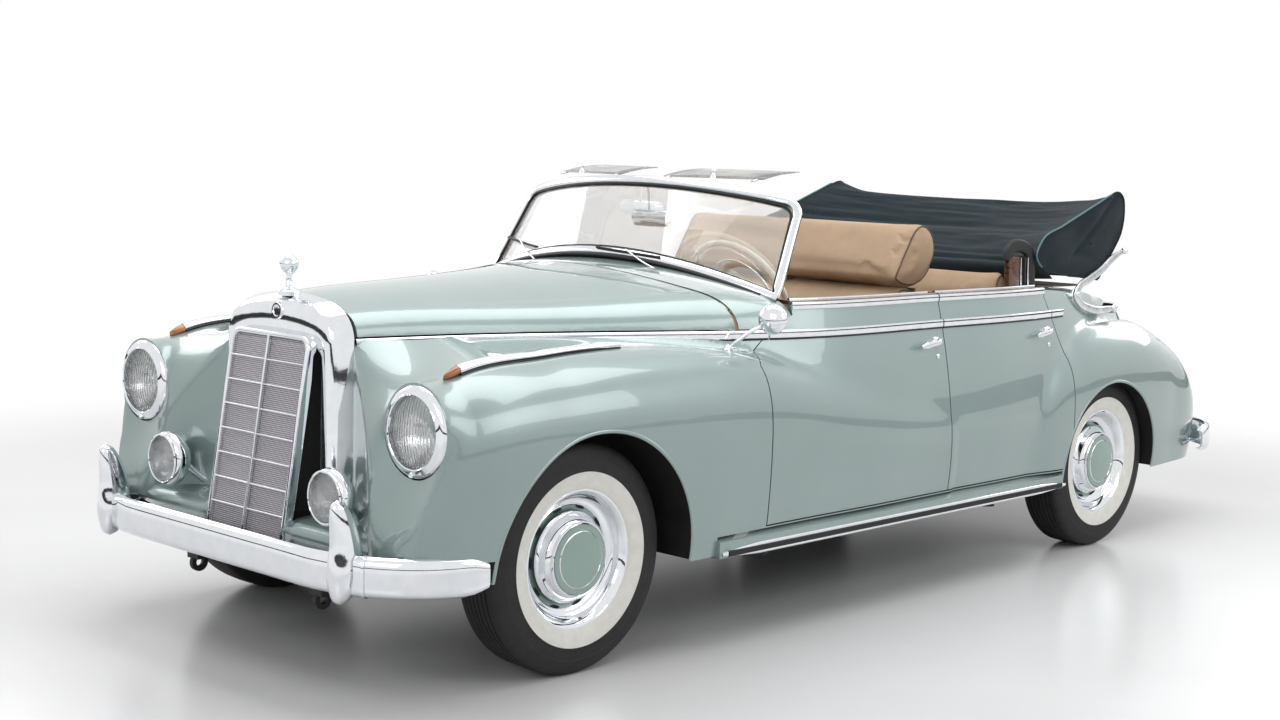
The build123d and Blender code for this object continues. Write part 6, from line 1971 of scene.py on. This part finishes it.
lined("front_door_card", -0.790, 0.155, lambda y: 0.405, front_card_top, "front_door")
lined("rear_door_card", 0.215, 0.985, rear_card_low, lambda y: 1.084 if y < 0.92 else 1.05 - (y - 0.92) * 2.2, "rear_door")
lined("quarter_card", 1.020, 1.340, lambda y: max(0.62, 0.345 + math.sqrt(max(0.40 ** 2 - (y - 1.355) ** 2, 0))),
      lambda y: 1.040, BODY, 0.030, 0.085)
for row, y0, y1 in (("front", -0.50, 0.02), ("rear", 0.34, 0.84)):
    body = f"{row}_door"
    z_arm, ys = 0.835, np.linspace(y0, y1, 18)
    trimmed(f"{row}_armrest", [(side_x(y, z_arm) - 0.098 - 0.026 * math.sin(math.pi * i / 17) ** 0.5, y, z_arm) for i, y in enumerate(ys)],
            rounded(0.060, 0.046, 0.018), LEATHER, (0, 0, 1), body)
    trimmed(f"{row}_pocket", [(side_x(y, 0.56) - 0.094, y, 0.56) for y in np.linspace(y0 + 0.02, y1 - 0.02, 12)],
            rounded(0.016, 0.200, 0.007), LEATHER, (0, 0, 1), body)
    trimmed(f"{row}_pocket_edge", [(side_x(y, 0.665) - 0.100, y, 0.665) for y in np.linspace(y0 + 0.01, y1 - 0.01, 12)],
            ring_section(0.010, 0.010), PIPING, (0, 0, 1), body)
    yw, zw = y0 + 0.07, 0.945
    xw = side_x(yw, zw) - 0.090
    for name, profile, at in (("winder_hub", [(-0.004, 0.018), (0.006, 0.017), (0.012, 0.010), (0.013, 0.0)], (xw, yw, zw)),
                              ("winder_knob", [(-0.012, 0.006), (0.004, 0.006), (0.008, 0.011), (0.016, 0.011), (0.020, 0.0)],
                               (xw - 0.012, yw + 0.052, zw - 0.052))):
        made = spun(f"{row}_{name}", profile, at, (-1, 0, 0), CHROME if name == "winder_hub" else IVORY, body + "_left",
                    24)
        stem = made.name
        made.name = made.data.name = stem + "_left"
        made_pieces[made_pieces.index(stem)] = made.name
        mirror_of(made, stem + "_right", body + "_right")
    trimmed(f"{row}_winder_arm", [(xw - 0.012, yw, zw), (xw - 0.014, yw + 0.026, zw - 0.026), (xw - 0.012, yw + 0.052, zw - 0.052)],
            rounded(0.011, 0.006, 0.0025), CHROME, (1, 0, 0), body)
    trimmed(f"{row}_inner_handle", [(xw - 0.006, y1 - 0.10, 0.965), (xw - 0.012, y1 - 0.06, 0.967), (xw - 0.008, y1 - 0.015, 0.962)],
            rounded(0.014, 0.008, 0.0035), CHROME, (1, 0, 0), body)
print("door cards made")

# %% Carpets
for name, x0, x1, y0, y1, z in (("front", 0.127, 0.700, -0.860, 0.640, 0.3445), ("rear", 0.127, 0.700, 0.645, 0.94, 0.3445)):
    for side, s in (("left", 1), ("right", -1)):
        rug = piece(f"{name}_carpet_{side}",
                    [(s * (x0 + (x1 - x0) * i / 14), y0 + (y1 - y0) * j / 20,
                      z + 0.0025 * math.sin(5 * i / 14 + 3) * math.sin(9 * j / 20)) for j in range(21) for i in range(15)],
                    grid_faces(21, 15), CARPET)
        applied(rug, "SOLIDIFY", thickness=0.008, offset=0)
verts = [(x, y, z) for y in np.linspace(-0.862, 1.10, 12) for x, z in ((-0.136, 0.350), (-0.136, 0.40), (-0.133, 0.432), (-0.118, 0.446),
                                                                    (0.118, 0.446), (0.133, 0.432), (0.136, 0.40), (0.136, 0.350))]
tunnel = piece("tunnel_carpet", verts, grid_faces(12, 8), CARPET)
applied(tunnel, "SOLIDIFY", thickness=0.006, offset=1)
pressed_panel("hood_well", [(-0.70, 1.102, 1.094), (0.70, 1.102, 1.094), (0.66, 1.50, 1.086), (-0.66, 1.50, 1.086)], -0.004, LINING,
              swage=0.02)
print("carpets made")

# %% [markdown]
# ### Fittings of the screen and the roof's side frame
# Two smoked visors stand swung up over the screen, held by small pegs. The mirror hangs from the screen's
# head on a stalk. Behind each rear door the roof's side frame ends in a polished post with bright edges.


# %% Visors, mirror and posts
def visor(side, s):
    verts = []
    for u in np.linspace(0, 1, 9):
        for v in np.linspace(0, 1, 9):
            taper = 0.012 * (2 * v - 1) ** 4
            x = s * (0.110 + 0.400 * v)
            head = screen_point(x, 1.503)[0]
            verts.append((x, head.y + 0.020 + (0.215 - taper) * u, head.z + 0.010 + 0.028 * u + 0.005 * math.sin(math.pi * u)))
    made = piece(f"visor_{side}", verts, grid_faces(9, 9), SMOKED)
    applied(made, "SOLIDIFY", thickness=0.004, offset=0)
    # The clear plastic throws next to no shadow on the screen below it
    made.visible_shadow = False
    for i, v in enumerate((0.06, 0.94)):
        x = s * (0.110 + 0.400 * v)
        head = screen_point(x, 1.503)[0]
        swept(f"visor_arm_{side}_{i + 1}", [(x, head.y - 0.004, head.z + 0.002), (x, head.y + 0.03, head.z + 0.010), (x, head.y + 0.09, head.z + 0.022)],
              rounded(0.012, 0.007, 0.003), CHROME, (0, 0, 1))
    peg = screen_point(s * 0.335, 1.508)[0]
    spun(f"roof_peg_{side}", [(-0.006, 0.010), (0.004, 0.009), (0.010, 0.005), (0.020, 0.0045), (0.024, 0.007), (0.030, 0.006), (0.032, 0)],
         (peg.x, peg.y, peg.z + 0.006), (0, 0.1, 1), CHROME, steps=24)


for side, s in (("left", 1), ("right", -1)):
    visor(side, s)
swept("mirror_stalk", [(0.0, -0.560, 1.492), (0.0, -0.548, 1.455), (0.0, -0.545, 1.41), (0.0, -0.540, 1.370)], ring_section(0.009, 0.009),
      CHROME, (1, 0, 0))
verts = []
for share, out in ((0.02, -0.002), (0.90, -0.002), (1.0, 0.003), (1.0, 0.010), (0.93, 0.018), (0.70, 0.024), (0.02, 0.026)):
    verts += [(a * share, -0.520 - out, 1.352 + b * share + 0.12 * out) for a, b in rounded(0.200, 0.062, 0.026, 6)]
shell_faces = grid_faces(7, 28, True) + [tuple(range(28))[::-1], tuple(range(6 * 28, 7 * 28))]
mirror = piece("rear_view_mirror", verts, shell_faces, CHROME, smooth=None)
outwards(mirror)
finished(mirror, BODY, 45)
made_pieces.pop()
for side, s in (("left", 1), ("right", -1)):
    swept(f"roof_post_wood_{side}", [(s * 0.728, 0.808, 1.106), (s * 0.728, 0.806, 1.16), (s * 0.727, 0.803, 1.222)], rounded(0.034, 0.070, 0.010),
          WALNUT, (0, 1, 0))
    for i, y in enumerate((0.858, 0.884, 0.910)):
        swept(f"roof_post_strip_{side}_{i + 1}", [(s * 0.732, y, 1.104), (s * 0.731, y - 0.003, 1.22)], rounded(0.020, 0.011, 0.003),
              CHROME if i != 1 else SEAL, (0, 1, 0))
    arch = [(s * 0.726, 0.770, 1.212), (s * 0.726, 0.778, 1.248), (s * 0.726, 0.815, 1.268), (s * 0.726, 0.870, 1.266), (s * 0.726, 0.925, 1.240),
            (s * 0.726, 0.940, 1.180), (s * 0.726, 0.944, 1.110)]
    swept(f"roof_post_cap_{side}", smoothed(arch, 30), rounded(0.050, 0.026, 0.010), SEAL, (1, 0, 0))
print("visors, mirror and posts made")

# %% [markdown]
# ### Valance and the shade under the bonnet's gap
# A painted valance fills the space between the wings, the grille and the bumper, and a black strip lies
# under the gap behind the bonnet as painted shade, where the gap would otherwise show the cabin.

# %% Valance and painted shade under the bonnet's gap
for side, s in (("left", 1), ("right", -1)):
    verts = []
    for x in np.linspace(0.205, 0.735, 16):
        front = -2.318 + 0.10 * max(0.0, (x - 0.45) / 0.35) ** 2
        for y, z in ((-2.060, 0.486), (-2.150, 0.474), (front + 0.045, 0.462), (front + 0.016, 0.452), (front, 0.430), (front + 0.004, 0.398)):
            verts.append((s * x, y, z))
    made = piece(f"front_valance_{side}", verts, grid_faces(16, 6), PAINT, smooth=50)
    applied(made, "SOLIDIFY", thickness=0.003, offset=0)
# A black strip under the bonnet's rear gap: painted shade that hides the cabin below
gap_shade = []
for x in np.linspace(-0.66, 0.66, 61):
    front = scuttle_edges(x * 1000)[0]
    near = min(((abs(bonnet_point(front, share)[0] - abs(x) * 1000), bonnet_point(front, share)[1]) for share in np.linspace(0, 1, 60)))
    gap_shade.append((x, front / 1000 - 0.001, near[1] / 1000 - 0.030))
swept("bonnet_gap_shade_strip", gap_shade, rounded(0.050, 0.010, 0.003), SEAL, (0, 0, 1))
print("valance and gutter made")

# %% [markdown]
# ## Studio
# The car stands on a pale, faintly glossy floor in a white room. Large soft lamps above and beside it give
# the long highlights that show the form of a body. A dark band low round the room, which only
# reflections see, gives bright metal its dark line, as the dark end of a studio does.


# %% Floor, room and lamps
def studio():
    bpy.ops.object.select_all(action="DESELECT")
    bpy.ops.mesh.primitive_circle_add(vertices=96, radius=40, fill_type="NGON", location=(0, 0, 0))
    floor = bpy.context.object
    floor.name = "studio_floor"
    made, tree, surface, place = material("pale_painted_floor", Roughness=0.22, Specular_IOR_Level=0.4)
    cloud = noise(tree, place, 1.2, 4.0)
    tree.links.new(shade(tree, cloud.outputs["Fac"], "#e4e4e5", "#dededf"), surface.inputs["Base Color"])
    far = node(tree, "VectorMath", {0: place}, operation="LENGTH").outputs["Value"]
    fade = node(tree, "MapRange", {"Value": far, "From Min": 3.2, "From Max": 5.6}, interpolation_type="SMOOTHSTEP")
    white = node(tree, "Emission", {"Color": (1, 1, 1, 1), "Strength": 1.0})
    path = node(tree, "LightPath")
    seen = node(tree, "Math", {0: path.outputs["Is Camera Ray"], 1: path.outputs["Is Glossy Ray"]}, operation="MAXIMUM")
    seen = node(tree, "Math", {0: seen.outputs[0], 1: path.outputs["Is Transmission Ray"]}, operation="MAXIMUM")
    share = node(tree, "Math", {0: fade.outputs[0], 1: seen.outputs[0]}, operation="MULTIPLY")
    mixed = node(tree, "MixShader", {0: share.outputs[0], 1: surface.outputs[0], 2: white.outputs[0]})
    tree.links.new(mixed.outputs[0], tree.nodes["Material Output"].inputs["Surface"])
    floor.data.materials.append(made)

    bpy.ops.mesh.primitive_cylinder_add(vertices=96, radius=14, depth=0.7, end_fill_type="NOTHING", location=(0, 0, 0.80))
    band = bpy.context.object
    band.name = "studio_dark_band"
    dark, tree, surface, place = material("dark_band_cloth", Roughness=1.0)
    weave = noise(tree, place, 0.5)
    tree.links.new(shade(tree, weave.outputs["Fac"], "#3c3f42", "#484b4e"), surface.inputs["Base Color"])
    band.data.materials.append(dark)
    for ray in ("camera", "diffuse", "transmission", "volume_scatter", "shadow"):
        setattr(band, "visible_" + ray, False)

    world = bpy.data.worlds.new("white_room")
    bpy.context.scene.world = world
    world.use_nodes = True
    tree = world.node_tree
    sky = tree.nodes["Background"]
    path = node(tree, "LightPath")
    seen = node(tree, "Math", {0: path.outputs["Is Camera Ray"], 1: path.outputs["Is Glossy Ray"]}, operation="MAXIMUM")
    seen = node(tree, "Math", {0: seen.outputs[0], 1: path.outputs["Is Transmission Ray"]}, operation="MAXIMUM")
    sky.inputs["Color"].default_value = (1, 1, 1, 1)
    strength = node(tree, "MapRange", {"Value": seen.outputs[0], "To Min": 0.42, "To Max": 1.0})
    tree.links.new(strength.outputs[0], sky.inputs["Strength"])

    # name, place, aimed at, size, power
    for name, place, aim, size, power in (
            ("lamp_overhead", (0.3, -0.4, 4.6), (0, 0, 0.5), (6.5, 3.2), 185),
            ("lamp_left", (5.2, 0.8, 3.2), (0.4, -0.2, 0.6), (4.5, 2.0), 72),
            ("lamp_front", (1.8, -6.4, 3.0), (0, -1.5, 0.7), (3.0, 2.0), 60),
            ("lamp_right", (-5.2, -1.5, 3.2), (-0.4, 0, 0.6), (4.0, 2.0), 60),
            ("lamp_rear", (0.5, 6.2, 3.0), (0, 1.5, 0.7), (3.0, 2.0), 50)):
        light = bpy.data.lights.new(name, "AREA")
        light.shape, light.size, light.size_y, light.energy = "RECTANGLE", size[0], size[1], power
        lamp = bpy.data.objects.new(name, light)
        bpy.context.collection.objects.link(lamp)
        lamp.location = place
        lamp.rotation_euler = (Vector(aim) - Vector(place)).to_track_quat("-Z", "Y").to_euler()


studio()
print("studio lit")

# %% [markdown]
# ## Camera
# The camera stands at the car's front left, a little over headlamp height, as the photographer did. It is
# placed by its yaw, its pitch and its slight roll.

# %% Camera
YAW, PITCH, ROLL = (math.radians(a) for a in (43.5, 6.36, 1.66))
ahead = Vector((-math.sin(YAW) * math.cos(PITCH), math.cos(YAW) * math.cos(PITCH), -math.sin(PITCH)))
level_right = Vector((math.cos(YAW), math.sin(YAW), 0))
level_up = level_right.cross(ahead)
camera_right = level_right * math.cos(ROLL) + level_up * math.sin(ROLL)
camera_up = level_up * math.cos(ROLL) - level_right * math.sin(ROLL)
camera_data = bpy.data.cameras.new("camera")
camera_data.lens, camera_data.sensor_width = 52.39, 36
camera_data.dof.use_dof = False
camera_data.clip_end = 200
camera = bpy.data.objects.new("camera", camera_data)
bpy.context.collection.objects.link(camera)
camera.matrix_world = Matrix((camera_right, camera_up, -ahead)).transposed().to_4x4()
camera.location = (4.775, -5.600, 1.596)
bpy.context.scene.camera = camera
bpy.context.scene.view_settings.view_transform = "Standard"
print("camera at", tuple(round(v, 3) for v in camera.location))
